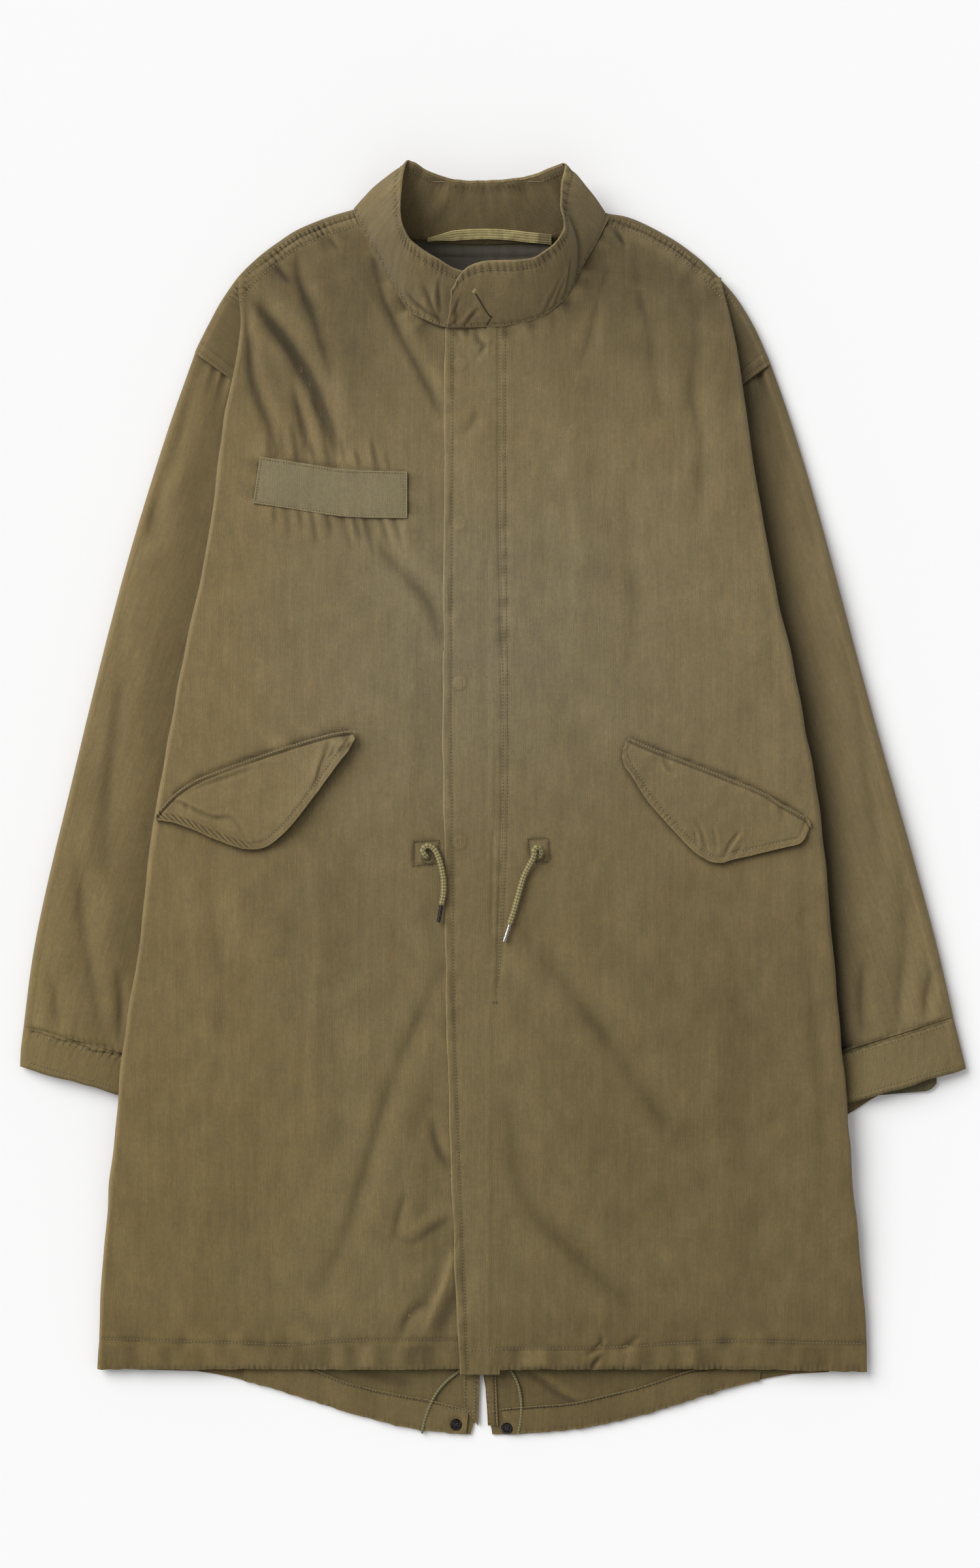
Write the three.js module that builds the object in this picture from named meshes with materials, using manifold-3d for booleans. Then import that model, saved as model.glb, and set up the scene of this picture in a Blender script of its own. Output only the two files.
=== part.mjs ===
// A fishtail parka laid flat on its back: collar toward +Y, closed front facing +Z, sleeves swung down and
// tucked under the sides of the body. Millimetres, +Z up, resting on z = 0, with the origin under the middle
// of the whole coat. Left and right are the wearer's, so the right half of the coat lies at -X.
//
// Each cloth piece is a wall: a grid of points on its outer face, and the same grid moved in by the cloth's
// thickness. The fronts run from the centre edge over the body, round the side fold and back underneath,
// over the tucked sleeve, to the side seam, where they meet the back, which lies on the surface.
import * as THREE from "three";
import { mergeVertices } from "three/addons/utils/BufferGeometryUtils.js";
import Module from "manifold-3d";

const wasm = await Module();
wasm.setup();

// ---------------------------------------------------------------------------------------------------------
// Driving dimensions
// ---------------------------------------------------------------------------------------------------------

const CLOTH = 1.6; // one layer of the shell
const DOUBLE = 2.2; // two layers sewn together: fly, pocket flaps, cuffs
const COLLAR_WALL = 2.6; // two layers and their interlining
const THIN = 1.0; // lining and name tape
const SEAM_GAP = 0.6; // between pieces that are sewn edge to edge
const LAP_GAP = 0.5; // between pieces that lie on each other

const HEM_Y = -489; // front hem
const SHOULDER_Y = 447; // where the side folds begin, at the shoulder points
const FOLD_REACH = 5; // how far a side fold rounds outward
const RETURN_Z = 9.5; // underside of the fronts where they pass over the sleeves
const SLEEVE_FLAT = 9; // a sleeve's height under the body
const CAP_Z = 8.5; // top of the back where it wraps over the shoulder
const ROLL_LENGTH = 50; // over which the fronts roll down to the shoulder seams
const CROWN = 2.5; // how late the fronts fall away toward the side folds: a higher power is later
const FLY_STEP = { depth: 2.2, from: -80, over: 34 }; // how the right front dips to pass under the fly
const FLY_RAISE = 0.8; // how far the fly stands over the fronts' line
const FLAP_LIFT = 0.9; // gap under the pocket flaps
const SEAM_DROP = { above: 19, over: 35, share: 0.85 }; // how the side seams come down below the armholes
const SEAM_RUN = { beside: 3, below: 18 }; // from the sleeve's inner edge in to the side seam
const RETURN_LEAST = 8; // least width of the cloth that turns back under a side fold
const SHEET_INSET = 9; // the shoulder wraps make the outermost strip of the back

// Heights of the coat above the surface, from the hem up: top of the fronts at the middle and at the side
// folds, and underside of the side folds.
const HEIGHTS = [
  { y: -489, middle: 12, side: 10, under: 3 },
  { y: -412, middle: 15.5, side: 13, under: 3.5 },
  { y: -323, middle: 20, side: 17, under: 6 },
  { y: -285, middle: 21.5, side: 18.5, under: 11 },
  { y: -211, middle: 25, side: 22, under: 11.5 },
  { y: -43, middle: 31, side: 27.5, under: 12 },
  { y: 92, middle: 34, side: 30, under: 12.5 },
  { y: 182, middle: 34, side: 30, under: 12.5 },
  { y: 260, middle: 33, side: 28, under: 12 },
  { y: 345, middle: 30, side: 25, under: 11.5 },
  { y: 391, middle: 28, side: 22, under: 11 },
  { y: 447, middle: 24, side: 17, under: 11 },
];

// The two sides of the coat, with distances from the centre line. edge is the body's side fold, and inner is
// the inner edge of the tucked sleeve, which the side seam follows.
const RIGHT = {
  name: "right",
  sign: -1,
  body: [
    { y: -489, edge: 341, inner: 343 },
    { y: -412, edge: 338, inner: 340 },
    { y: -323, edge: 329.5, inner: 330 },
    { y: -276, edge: 324, inner: 283 },
    { y: -211, edge: 318.5, inner: 271 },
    { y: -127, edge: 304.5, inner: 236 },
    { y: -43, edge: 294, inner: 202 },
    { y: 27, edge: 284, inner: 173 },
    { y: 92, edge: 272.5, inner: 146.5 },
    { y: 181, edge: 253.5, inner: 110 },
    { y: 260, edge: 240, inner: 110 },
    { y: 345, edge: 229, inner: 110 },
    { y: 391, edge: 218, inner: 110 },
    { y: 447, edge: 219, inner: 110 },
  ],
  // Upper edge of the front, from the centre along the neckline to the neck point, then along the shoulder.
  top: [
    { x: 7, y: 401, z: 24 },
    { x: 41, y: 401.5, z: 24 },
    { x: 63, y: 410, z: 24 },
    { x: 74.5, y: 417.5, z: 23.5 },
    { x: 88, y: 440.5, z: 21 },
    { x: 102.5, y: 467, z: 18 },
    { x: 114, y: 489.5, z: 14.5 },
    { x: 121, y: 499, z: 10.8 },
    { x: 142, y: 492.5, z: 10.8 },
    { x: 170, y: 481.5, z: 10.8 },
    { x: 199, y: 461.5, z: 11 },
    { x: 219, y: 447, z: 12.5 },
  ],
  // Outline of the shoulder from the neck point to the armhole, with the direction in from the outline and
  // how far the back wraps over the top of the shoulder there.
  shoulder: [
    { x: 119, y: 507, inX: -0.25, inY: -0.97, wrap: 14 },
    { x: 142, y: 500.5, inX: -0.3, inY: -0.95, wrap: 19 },
    { x: 170.5, y: 489, inX: -0.45, inY: -0.89, wrap: 21 },
    { x: 199, y: 469, inX: -0.65, inY: -0.76, wrap: 23 },
    { x: 219, y: 450.5, inX: -0.75, inY: -0.66, wrap: 26 },
    { x: 235.5, y: 426.5, inX: -0.88, inY: -0.48, wrap: 33 },
    { x: 247, y: 404.5, inX: -0.86, inY: -0.51, wrap: 42 },
    { x: 255.3, y: 388, inX: -0.8, inY: -0.6, wrap: 47 },
  ],
  armhole: { outerX: 255.6, outerY: 387.2, innerX: 110, innerY: 181, rise: 28 },
  // Sleeve sections from the armhole to the cuff: outer end, inner end, and how high it stands in the open.
  sleeve: [
    { outX: 255.6, outY: 387.2, inX: 110, inY: 181, stand: 8.5, rise: 28 },
    { outX: 262, outY: 368, inX: 118, inY: 161, stand: 12, rise: 18 },
    { outX: 273.5, outY: 338, inX: 131, inY: 129, stand: 15, rise: 8 },
    { outX: 295, outY: 271, inX: 152, inY: 78, stand: 17, rise: 0 },
    { outX: 315, outY: 204, inX: 171, inY: 32, stand: 18, rise: 0 },
    { outX: 333, outY: 136, inX: 190, inY: -15, stand: 18, rise: 0 },
    { outX: 349.5, outY: 69, inX: 208, inY: -58, stand: 18, rise: 0 },
    { outX: 365.5, outY: 2, inX: 226, inY: -102, stand: 17, rise: 0 },
    { outX: 382, outY: -65, inX: 245, inY: -148, stand: 16, rise: 0 },
    { outX: 396.5, outY: -132, inX: 262, inY: -190, stand: 14.5, rise: 0 },
    { outX: 404, outY: -194.5, inX: 278.5, inY: -230, stand: 13, rise: 0 },
  ],
  cuff: [
    { outX: 404.1, outY: -195.3, inX: 278.6, inY: -230.8, stand: 13, rise: 0 },
    { outX: 406.5, outY: -214, inX: 281, inY: -249, stand: 12.5, rise: 0 },
    { outX: 407.3, outY: -230, inX: 282.6, inY: -266, stand: 11.5, rise: 0 },
  ],
  underCuff: 0, // how far the cuff's lower layer shows beyond the upper one
  // Pocket flap: upper inner end of its sewn edge, and the direction of that edge toward the side.
  flap: { x: 121, y: 60, alongX: 0.934, alongY: -0.358 },
  // Route of the waist cord's free end, from its eyelet; lift is its centre's height above the front.
  waistCord: [
    { x: -57.8, y: -48.4, lift: 2.6 },
    { x: -59.6, y: -46.6, lift: 3.8 },
    { x: -60.8, y: -42.6, lift: 3.8 },
    { x: -57.6, y: -39.8, lift: 3.8 },
    { x: -53.2, y: -40.6, lift: 4 },
    { x: -49.4, y: -44.8, lift: 4.8 },
    { x: -46.4, y: -52.4, lift: 5.6 },
    { x: -43.9, y: -62.4, lift: 6 },
    { x: -42.8, y: -72.4, lift: 6 },
    { x: -43.2, y: -81.2, lift: 6 },
    { x: -44.8, y: -89.6, lift: 5.8 },
  ],
  // Route of the hem cord's free end over the tail.
  hemCord: [
    { x: -17, y: -480, lift: 1.6 },
    { x: -24, y: -486.5, lift: 1.6 },
    { x: -32.5, y: -493, lift: 1.8 },
    { x: -41.3, y: -500.3, lift: 2 },
    { x: -48.4, y: -508.4, lift: 1.8 },
    { x: -53.6, y: -517.4, lift: 1.6 },
    { x: -57.6, y: -527, lift: 1.6 },
    { x: -60.4, y: -536, lift: 1.6 },
    { x: -62, y: -544.5, lift: 1.6 },
  ],
  snap: { x: -32.8, y: -537.2 },
};

const LEFT = {
  name: "left",
  sign: 1,
  body: [
    { y: -489, edge: 319.5, inner: 321.5 },
    { y: -412, edge: 316, inner: 318 },
    { y: -323, edge: 307, inner: 308 },
    { y: -280, edge: 303, inner: 273 },
    { y: -211, edge: 298, inner: 264 },
    { y: -127, edge: 290.5, inner: 231 },
    { y: -43, edge: 282, inner: 198 },
    { y: 27, edge: 273, inner: 170.5 },
    { y: 92, edge: 261, inner: 145 },
    { y: 181, edge: 240.5, inner: 110 },
    { y: 260, edge: 226.5, inner: 110 },
    { y: 345, edge: 214, inner: 110 },
    { y: 391, edge: 206, inner: 110 },
    { y: 447, edge: 193, inner: 110 },
  ],
  top: [
    { x: 3.4, y: 401.5, z: 26 },
    { x: 24, y: 405, z: 25.5 },
    { x: 43, y: 411, z: 25 },
    { x: 55.5, y: 420.5, z: 24 },
    { x: 65.3, y: 431, z: 23 },
    { x: 76, y: 452.5, z: 21 },
    { x: 87.5, y: 472, z: 18 },
    { x: 97.5, y: 490.5, z: 14.5 },
    { x: 105, y: 495, z: 10.8 },
    { x: 133, y: 484.5, z: 10.8 },
    { x: 158, y: 471, z: 10.8 },
    { x: 178, y: 456, z: 11 },
    { x: 193, y: 447, z: 12.5 },
  ],
  shoulder: [
    { x: 101, y: 502.5, inX: -0.25, inY: -0.97, wrap: 14 },
    { x: 114, y: 501, inX: -0.25, inY: -0.97, wrap: 19 },
    { x: 134, y: 492, inX: -0.4, inY: -0.92, wrap: 20 },
    { x: 158, y: 478.5, inX: -0.5, inY: -0.87, wrap: 22 },
    { x: 180, y: 461.5, inX: -0.65, inY: -0.76, wrap: 24 },
    { x: 195, y: 446, inX: -0.75, inY: -0.66, wrap: 27 },
    { x: 208, y: 431.5, inX: -0.85, inY: -0.53, wrap: 32 },
    { x: 223, y: 407, inX: -0.88, inY: -0.48, wrap: 38 },
    { x: 235.7, y: 378.6, inX: -0.8, inY: -0.6, wrap: 42 },
  ],
  armhole: { outerX: 236, outerY: 377.7, innerX: 110, innerY: 181, rise: 20 },
  sleeve: [
    { outX: 236, outY: 377.7, inX: 110, inY: 181, stand: 8.5, rise: 20 },
    { outX: 243, outY: 359, inX: 118, inY: 161, stand: 11, rise: 13 },
    { outX: 254, outY: 328, inX: 130, inY: 131, stand: 13, rise: 6 },
    { outX: 273.5, outY: 264, inX: 150, inY: 80, stand: 14.5, rise: 0 },
    { outX: 291.5, outY: 198, inX: 169, inY: 31, stand: 15, rise: 0 },
    { outX: 308.5, outY: 134, inX: 188, inY: -17, stand: 15, rise: 0 },
    { outX: 326, outY: 69, inX: 205, inY: -61, stand: 15, rise: 0 },
    { outX: 345, outY: 2, inX: 223, inY: -106, stand: 14.5, rise: 0 },
    { outX: 364, outY: -65, inX: 240, inY: -149, stand: 14, rise: 0 },
    { outX: 382, outY: -132, inX: 256, inY: -190, stand: 13.5, rise: 0 },
    { outX: 394.3, outY: -187, inX: 269.8, inY: -225.4, stand: 13, rise: 0 },
  ],
  cuff: [
    { outX: 394.4, outY: -187.8, inX: 270, inY: -226.2, stand: 13, rise: 0 },
    { outX: 400, outY: -210, inX: 271, inY: -249, stand: 12.5, rise: 0 },
    { outX: 405.5, outY: -232.5, inX: 272, inY: -272, stand: 12, rise: 0 },
  ],
  underCuff: 12,
  flap: { x: 115, y: 54.5, alongX: 0.9125, alongY: -0.409 },
  waistCord: [
    { x: 37.8, y: -47.4, lift: 2.4 },
    { x: 38.5, y: -45.4, lift: 3.9 },
    { x: 38.2, y: -41.8, lift: 5.4 },
    { x: 35.6, y: -39.4, lift: 6.2 },
    { x: 32.9, y: -42, lift: 5.8 },
    { x: 31.6, y: -47.6, lift: 4.2 },
    { x: 29.4, y: -55.5, lift: 3.2 },
    { x: 25.8, y: -64.6, lift: 3 },
    { x: 22.6, y: -74.6, lift: 3 },
    { x: 19.6, y: -85.4, lift: 3 },
    { x: 16.6, y: -96, lift: 3 },
    { x: 13.2, y: -106.4, lift: 3 },
  ],
  hemCord: [
    { x: 1.5, y: -480, lift: 1.6 },
    { x: 8.5, y: -485, lift: 1.6 },
    { x: 14.6, y: -491.4, lift: 1.8 },
    { x: 19, y: -499, lift: 2 },
    { x: 21.8, y: -508, lift: 1.8 },
    { x: 23.2, y: -517.6, lift: 1.6 },
    { x: 23.2, y: -527, lift: 1.6 },
    { x: 22.3, y: -536.4, lift: 1.6 },
    { x: 20.6, y: -545, lift: 1.6 },
  ],
  snap: { x: 10.8, y: -540.6 },
};

// Fly: its free edge over the right front, and the seam that joins it to the left front.
const FLY = [
  { y: -493.5, free: -29.6, seam: 2 },
  { y: -379, free: -34.2, seam: 1.2 },
  { y: -174, free: -41.5, seam: 0.6 },
  { y: -60, free: -42.2, seam: -0.4 },
  { y: 60, free: -44, seam: 0.8 },
  { y: 260, free: -42.8, seam: 2.4 },
  { y: 401.4, free: -42.2, seam: 2.8 },
];

// Collar band from its overlapping end at the front, round the left side and the back of the neck, to the
// end that lies underneath: foot is on the neckline, rim is the upper edge.
const COLLAR = [
  { footX: -41.2, footY: 402.4, footZ: 27.4, rimX: -33.3, rimY: 443, rimZ: 47.5 },
  { footX: -28, footY: 402.4, footZ: 27.4, rimX: -22.5, rimY: 455, rimZ: 52.8 },
  { footX: -11, footY: 402.4, footZ: 27.4, rimX: -8, rimY: 459, rimZ: 54.4 },
  { footX: 6, footY: 402.8, footZ: 27.2, rimX: 7.6, rimY: 460.2, rimZ: 54.6 },
  { footX: 24, footY: 405.8, footZ: 26.6, rimX: 23.8, rimY: 460.4, rimZ: 54 },
  { footX: 42.5, footY: 412, footZ: 26, rimX: 35.5, rimY: 461, rimZ: 53 },
  { footX: 54.9, footY: 421.4, footZ: 25, rimX: 47, rimY: 467.5, rimZ: 53 },
  { footX: 64.6, footY: 431.8, footZ: 24, rimX: 55.5, rimY: 476, rimZ: 53.5 },
  { footX: 75, footY: 453.2, footZ: 22, rimX: 60, rimY: 488.5, rimZ: 54 },
  { footX: 86.6, footY: 473, footZ: 19.6, rimX: 58, rimY: 503.5, rimZ: 53 },
  { footX: 96.2, footY: 491.8, footZ: 16.4, rimX: 58, rimY: 524, rimZ: 49 },
  { footX: 98.6, footY: 499.5, footZ: 12, rimX: 62, rimY: 543.5, rimZ: 43 },
  { footX: 87, footY: 492.4, footZ: 5.5, rimX: 52.5, rimY: 540, rimZ: 38 },
  { footX: 63.6, footY: 483.4, footZ: 2.8, rimX: 35.5, rimY: 533.8, rimZ: 33 },
  { footX: 30, footY: 479, footZ: 2.2, rimX: 15.5, rimY: 530, rimZ: 30 },
  { footX: -7, footY: 477.3, footZ: 2, rimX: -10.5, rimY: 528.4, rimZ: 29 },
  { footX: -43, footY: 478.4, footZ: 2.2, rimX: -33.3, rimY: 529.5, rimZ: 31 },
  { footX: -73.6, footY: 482.3, footZ: 2.8, rimX: -54, rimY: 535.6, rimZ: 34 },
  { footX: -101.6, footY: 492.4, footZ: 5.5, rimX: -69, rimY: 543, rimZ: 39 },
  { footX: -116.4, footY: 503.5, footZ: 12, rimX: -76.4, rimY: 546.6, rimZ: 43 },
  { footX: -112.4, footY: 490.8, footZ: 16.4, rimX: -80.6, rimY: 523, rimZ: 50 },
  { footX: -101.4, footY: 468, footZ: 19.6, rimX: -82.4, rimY: 499.5, rimZ: 53.5 },
  { footX: -87.2, footY: 441.6, footZ: 22.3, rimX: -75.3, rimY: 482.5, rimZ: 53.5 },
  { footX: -74, footY: 418.8, footZ: 24.6, rimX: -62.4, rimY: 472.3, rimZ: 51.5 },
  { footX: -62.6, footY: 411.2, footZ: 24.7, rimX: -47, rimY: 462.8, rimZ: 49.6 },
  { footX: -41, footY: 402.6, footZ: 23.6, rimX: -33.3, rimY: 456, rimZ: 48 },
  { footX: -12, footY: 402.4, footZ: 23.4, rimX: -12, rimY: 454.5, rimZ: 47.4 },
];
const COLLAR_BULGE = 3; // the band bows outward between foot and rim

// Lower edge of the back: the fishtail, by distance from the centre line, and the vent that parts it.
const TAIL = [
  { x: 21, y: -544 },
  { x: 45, y: -541.4 },
  { x: 72, y: -538 },
  { x: 90, y: -534.4 },
  { x: 116, y: -527.6 },
  { x: 134, y: -523 },
  { x: 190, y: -505.4 },
  { x: 228, y: -495 },
  { x: 256, y: -490.4 },
];
const VENT = { x: -11, topY: -300, slit: 1.2 };
const VENT_EDGE = [
  { y: -494, right: -12.8, left: -9.2 },
  { y: -508, right: -13, left: -7 },
  { y: -522, right: -15.4, left: -4.8 },
  { y: -533, right: -17.2, left: -3.4 },
  { y: -544.4, right: -20.5, left: -1.6 },
];

// Pocket flap: depth below its sewn edge at distances from its upper inner end.
const FLAP = [
  { along: 0, deep: 11 },
  { along: 9, deep: 19 },
  { along: 24, deep: 31 },
  { along: 42, deep: 42 },
  { along: 62, deep: 50 },
  { along: 84, deep: 60 },
  { along: 101, deep: 67 },
  { along: 116, deep: 66.5 },
  { along: 130, deep: 55.5 },
  { along: 148, deep: 41 },
  { along: 166, deep: 26 },
  { along: 175, deep: 17 },
];

// Name tape on the right chest: its upper edge, and its depth.
const TAPE = [
  { x: -200, y: 292.5 },
  { x: -164, y: 287 },
  { x: -128, y: 281 },
  { x: -74, y: 279.5 },
];
const TAPE_DEPTH = 40;
const TAPE_SLANT = 5.5; // its outer end leans out by this much

const CORD_D = 5; // waist cord
const HEM_CORD_D = 2.4;
const AGLET = { length: 15, radius: 1.7, gap: 0.4, dip: 0.02 };
const SNAP_R = 5;
const SNAP_GAP = 0.3;
const LOOP = { halfLength: 48.5, width: 7.5, thickness: 1.8, x: -8.5, y: 479.4, bow: 4.6 };
const CUFF_TAB = { startX: 320, endX: 380, lowY: -255, slope: 0.085, width: 22, corner: 0.18 };
const LINING = { x: -7, halfWidth: 96, topY: 475.4, footY: 388, rise: 9 };

// ---------------------------------------------------------------------------------------------------------
// Curves and surfaces
// ---------------------------------------------------------------------------------------------------------

const lerp = THREE.MathUtils.lerp;
const clamp = THREE.MathUtils.clamp;
const ease = (t) => THREE.MathUtils.smoothstep(t, 0, 1);

// A column of a table at a place along its key column, on a smooth curve through the rows.
function read(table, key, column, at) {
  const last = table.length - 1;
  const t = clamp(at, table[0][key], table[last][key]);
  let i = 0;
  while (i < last - 1 && t > table[i + 1][key]) i++;
  const slope = (k) => {
    const a = table[Math.max(k - 1, 0)];
    const b = table[Math.min(k + 1, last)];
    return (b[column] - a[column]) / (b[key] - a[key]);
  };
  const span = table[i + 1][key] - table[i][key];
  const s = (t - table[i][key]) / span;
  const rise = table[i + 1][column] - table[i][column];
  const hermite = s * s * (3 - 2 * s);
  const start = s * (1 - s) * (1 - s) * slope(i) * span;
  const end = s * s * (s - 1) * slope(i + 1) * span;
  return table[i][column] + hermite * rise + start + end;
}

const steps = (count) => Array.from({ length: count + 1 }, (_, i) => i / count);

// Upper edge of a front at a distance from the centre line, joined by straight lines.
function topEdge(side, x) {
  const rows = side.top;
  const at = clamp(Math.abs(x), rows[0].x, rows[rows.length - 1].x);
  const i = Math.max(1, rows.findIndex((row) => row.x >= at));
  const share = (at - rows[i - 1].x) / (rows[i].x - rows[i - 1].x);
  return { y: lerp(rows[i - 1].y, rows[i].y, share), z: lerp(rows[i - 1].z, rows[i].z, share) };
}

// Height of the closed front's outer face: highest at the middle, and rolling down to the shoulder seams.
function frontHeight(x, y) {
  const side = x < 0 ? RIGHT : LEFT;
  const edge = read(side.body, "y", "edge", y);
  const share = clamp(Math.abs(x) / edge, 0, 1);
  const open = lerp(read(HEIGHTS, "y", "middle", y), read(HEIGHTS, "y", "side", y), share ** CROWN);
  const top = topEdge(side, x);
  return top.z + (open - top.z) * Math.sqrt(clamp((top.y - y) / ROLL_LENGTH, 0, 1));
}

// How far the right front dips to pass under the fly.
const dipUnderFly = (x) => (x < 0 ? FLY_STEP.depth * ease((x - FLY_STEP.from) / FLY_STEP.over) : 0);

// How far an armhole curve stands off its chord, at a share of the way along.
const bow = (rise, t) => 4 * rise * t * (1 - t);

// How far the side seam has come down at a level: not at all in the armhole, and fully below it.
const seamDrop = (side, y) => ease((side.armhole.innerY + SEAM_DROP.above - y) / SEAM_DROP.over);

// Where the armhole seam crosses a level: its inner half is hidden under the front.
function armholeX(side, y) {
  const { outerX, outerY, innerX, innerY, rise } = side.armhole;
  const a = 4 * rise;
  const b = outerY - innerY - 4 * rise;
  const c = y - outerY;
  const along = (-b + Math.sqrt(Math.max(b * b - 4 * a * c, 0))) / (2 * a);
  return lerp(outerX, innerX, clamp(along, 0, 1));
}

// Where a front, turned back under its side fold, ends its level run: over the armhole or the sleeve's edge.
function returnEnd(side, y) {
  const overSleeve = y > side.armhole.innerY ? armholeX(side, y) : read(side.body, "y", "inner", y) - 1;
  return Math.min(overSleeve, read(side.body, "y", "edge", y) - FOLD_REACH - RETURN_LEAST);
}

// A closed wall from a grid of points on its outer face. Rows run one way and columns the other, and out
// says on which side of the grid, as its columns cross its rows, the outer face looks: 1 or -1.
function wall(grid, thickness, { out = 1, closed = false } = {}) {
  const rows = grid.length;
  const columns = grid[0].length;
  const column = (j) => (closed ? (j + columns) % columns : clamp(j, 0, columns - 1));
  const inner = grid.map((row, i) =>
    row.map((point, j) => {
      const across = row[column(j + 1)].clone().sub(row[column(j - 1)]);
      const along = grid[Math.min(i + 1, rows - 1)][j].clone().sub(grid[Math.max(i - 1, 0)][j]);
      const normal = across.cross(along).normalize();
      return point.clone().addScaledVector(normal, -out * thickness);
    }),
  );
  const positions = [...grid.flat(), ...inner.flat()].flatMap((p) => [p.x, p.y, p.z]);
  const at = (face, i, j) => (face * rows + i) * columns + column(j);
  const index = [];
  const quad = (a, b, c, d) => index.push(a, b, c, a, c, d);
  for (let i = 0; i < rows - 1; i++) {
    for (let j = 0; j < (closed ? columns : columns - 1); j++) {
      quad(at(0, i, j), at(0, i, j + 1), at(0, i + 1, j + 1), at(0, i + 1, j));
      quad(at(1, i, j), at(1, i + 1, j), at(1, i + 1, j + 1), at(1, i, j + 1));
    }
  }
  for (let j = 0; j < (closed ? columns : columns - 1); j++) {
    quad(at(0, 0, j), at(1, 0, j), at(1, 0, j + 1), at(0, 0, j + 1));
    quad(at(0, rows - 1, j), at(0, rows - 1, j + 1), at(1, rows - 1, j + 1), at(1, rows - 1, j));
  }
  for (let i = 0; i < rows - 1 && !closed; i++) {
    const last = columns - 1;
    quad(at(0, i, 0), at(0, i + 1, 0), at(1, i + 1, 0), at(1, i, 0));
    quad(at(0, i, last), at(1, i, last), at(1, i + 1, last), at(0, i + 1, last));
  }
  const geometry = new THREE.BufferGeometry();
  geometry.setAttribute("position", new THREE.Float32BufferAttribute(positions, 3));
  geometry.setIndex(out > 0 ? index : index.reverse());
  return geometry;
}

// A closed geometry as a manifold-3d solid, and back.
function solidOf(geometry) {
  const bare = geometry.clone();
  bare.deleteAttribute("normal");
  bare.deleteAttribute("uv");
  const merged = mergeVertices(bare, 1e-4);
  return new wasm.Manifold(
    new wasm.Mesh({
      numProp: 3,
      vertProperties: merged.attributes.position.array,
      triVerts: new Uint32Array(merged.index.array),
    }),
  );
}

function geometryOf(solid) {
  const { vertProperties, triVerts } = solid.getMesh();
  const geometry = new THREE.BufferGeometry();
  geometry.setAttribute("position", new THREE.BufferAttribute(vertProperties, 3));
  geometry.setIndex(new THREE.BufferAttribute(triVerts, 1));
  return geometry;
}

// ---------------------------------------------------------------------------------------------------------
// The pieces
// ---------------------------------------------------------------------------------------------------------

// Levels at which the fronts are cut into rows, closer together where the armhole and the cuff end.
const LEVELS = [
  -489, -440, -385, -332, -305, -278, -235, -180, -110, -43, 27, 92, 140, 163, 181, 203, 240, 285, 330, 372,
  412, 447,
];

function front(side) {
  const { sign, top } = side;
  const outermost = top[top.length - 1].x;
  const centreX = top[0].x;
  const grid = LEVELS.map((level) => {
    const row = [];
    // Over the body, one column for each point of the upper edge.
    top.forEach((point) => {
      const y = lerp(HEM_Y, point.y, (level - HEM_Y) / (SHOULDER_Y - HEM_Y));
      const flatEnd = read(side.body, "y", "edge", y) - FOLD_REACH;
      const share = (point.x - centreX) / (outermost - centreX);
      const x = sign * lerp(centreX, flatEnd, share);
      row.push(new THREE.Vector3(x, y, frontHeight(x, y) - dipUnderFly(x)));
    });
    // Round the side fold.
    const y = level;
    const edge = read(side.body, "y", "edge", y);
    const high = row[row.length - 1].z;
    const low = read(HEIGHTS, "y", "under", y);
    for (const turn of [0.25, 0.5, 0.75, 1]) {
      const x = edge - FOLD_REACH + FOLD_REACH * Math.sin(Math.PI * turn);
      const z = (high + low) / 2 + ((high - low) / 2) * Math.cos(Math.PI * turn);
      row.push(new THREE.Vector3(sign * x, y, z));
    }
    // Back underneath to the hidden part of the armhole seam, or to the sleeve's inner edge.
    const flatTo = returnEnd(side, y);
    const returnZ = Math.min(low, RETURN_Z);
    for (const share of [0.25, 0.5, 0.75, 1]) {
      const x = lerp(edge - FOLD_REACH, flatTo, share);
      row.push(new THREE.Vector3(sign * x, y, lerp(low, returnZ, Math.min(1, share * 2))));
    }
    // Down past the sleeve's inner edge to the side seam, where the body is closed.
    const drop = seamDrop(side, y);
    for (const share of [0.3, 0.6, SEAM_DROP.share, 1]) {
      const x = flatTo - share * lerp(SEAM_RUN.beside, SEAM_RUN.below, drop);
      row.push(new THREE.Vector3(sign * x, y, returnZ * (1 - drop * ease(share / SEAM_DROP.share))));
    }
    return row;
  });
  return wall(grid, CLOTH, { out: sign });
}

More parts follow.
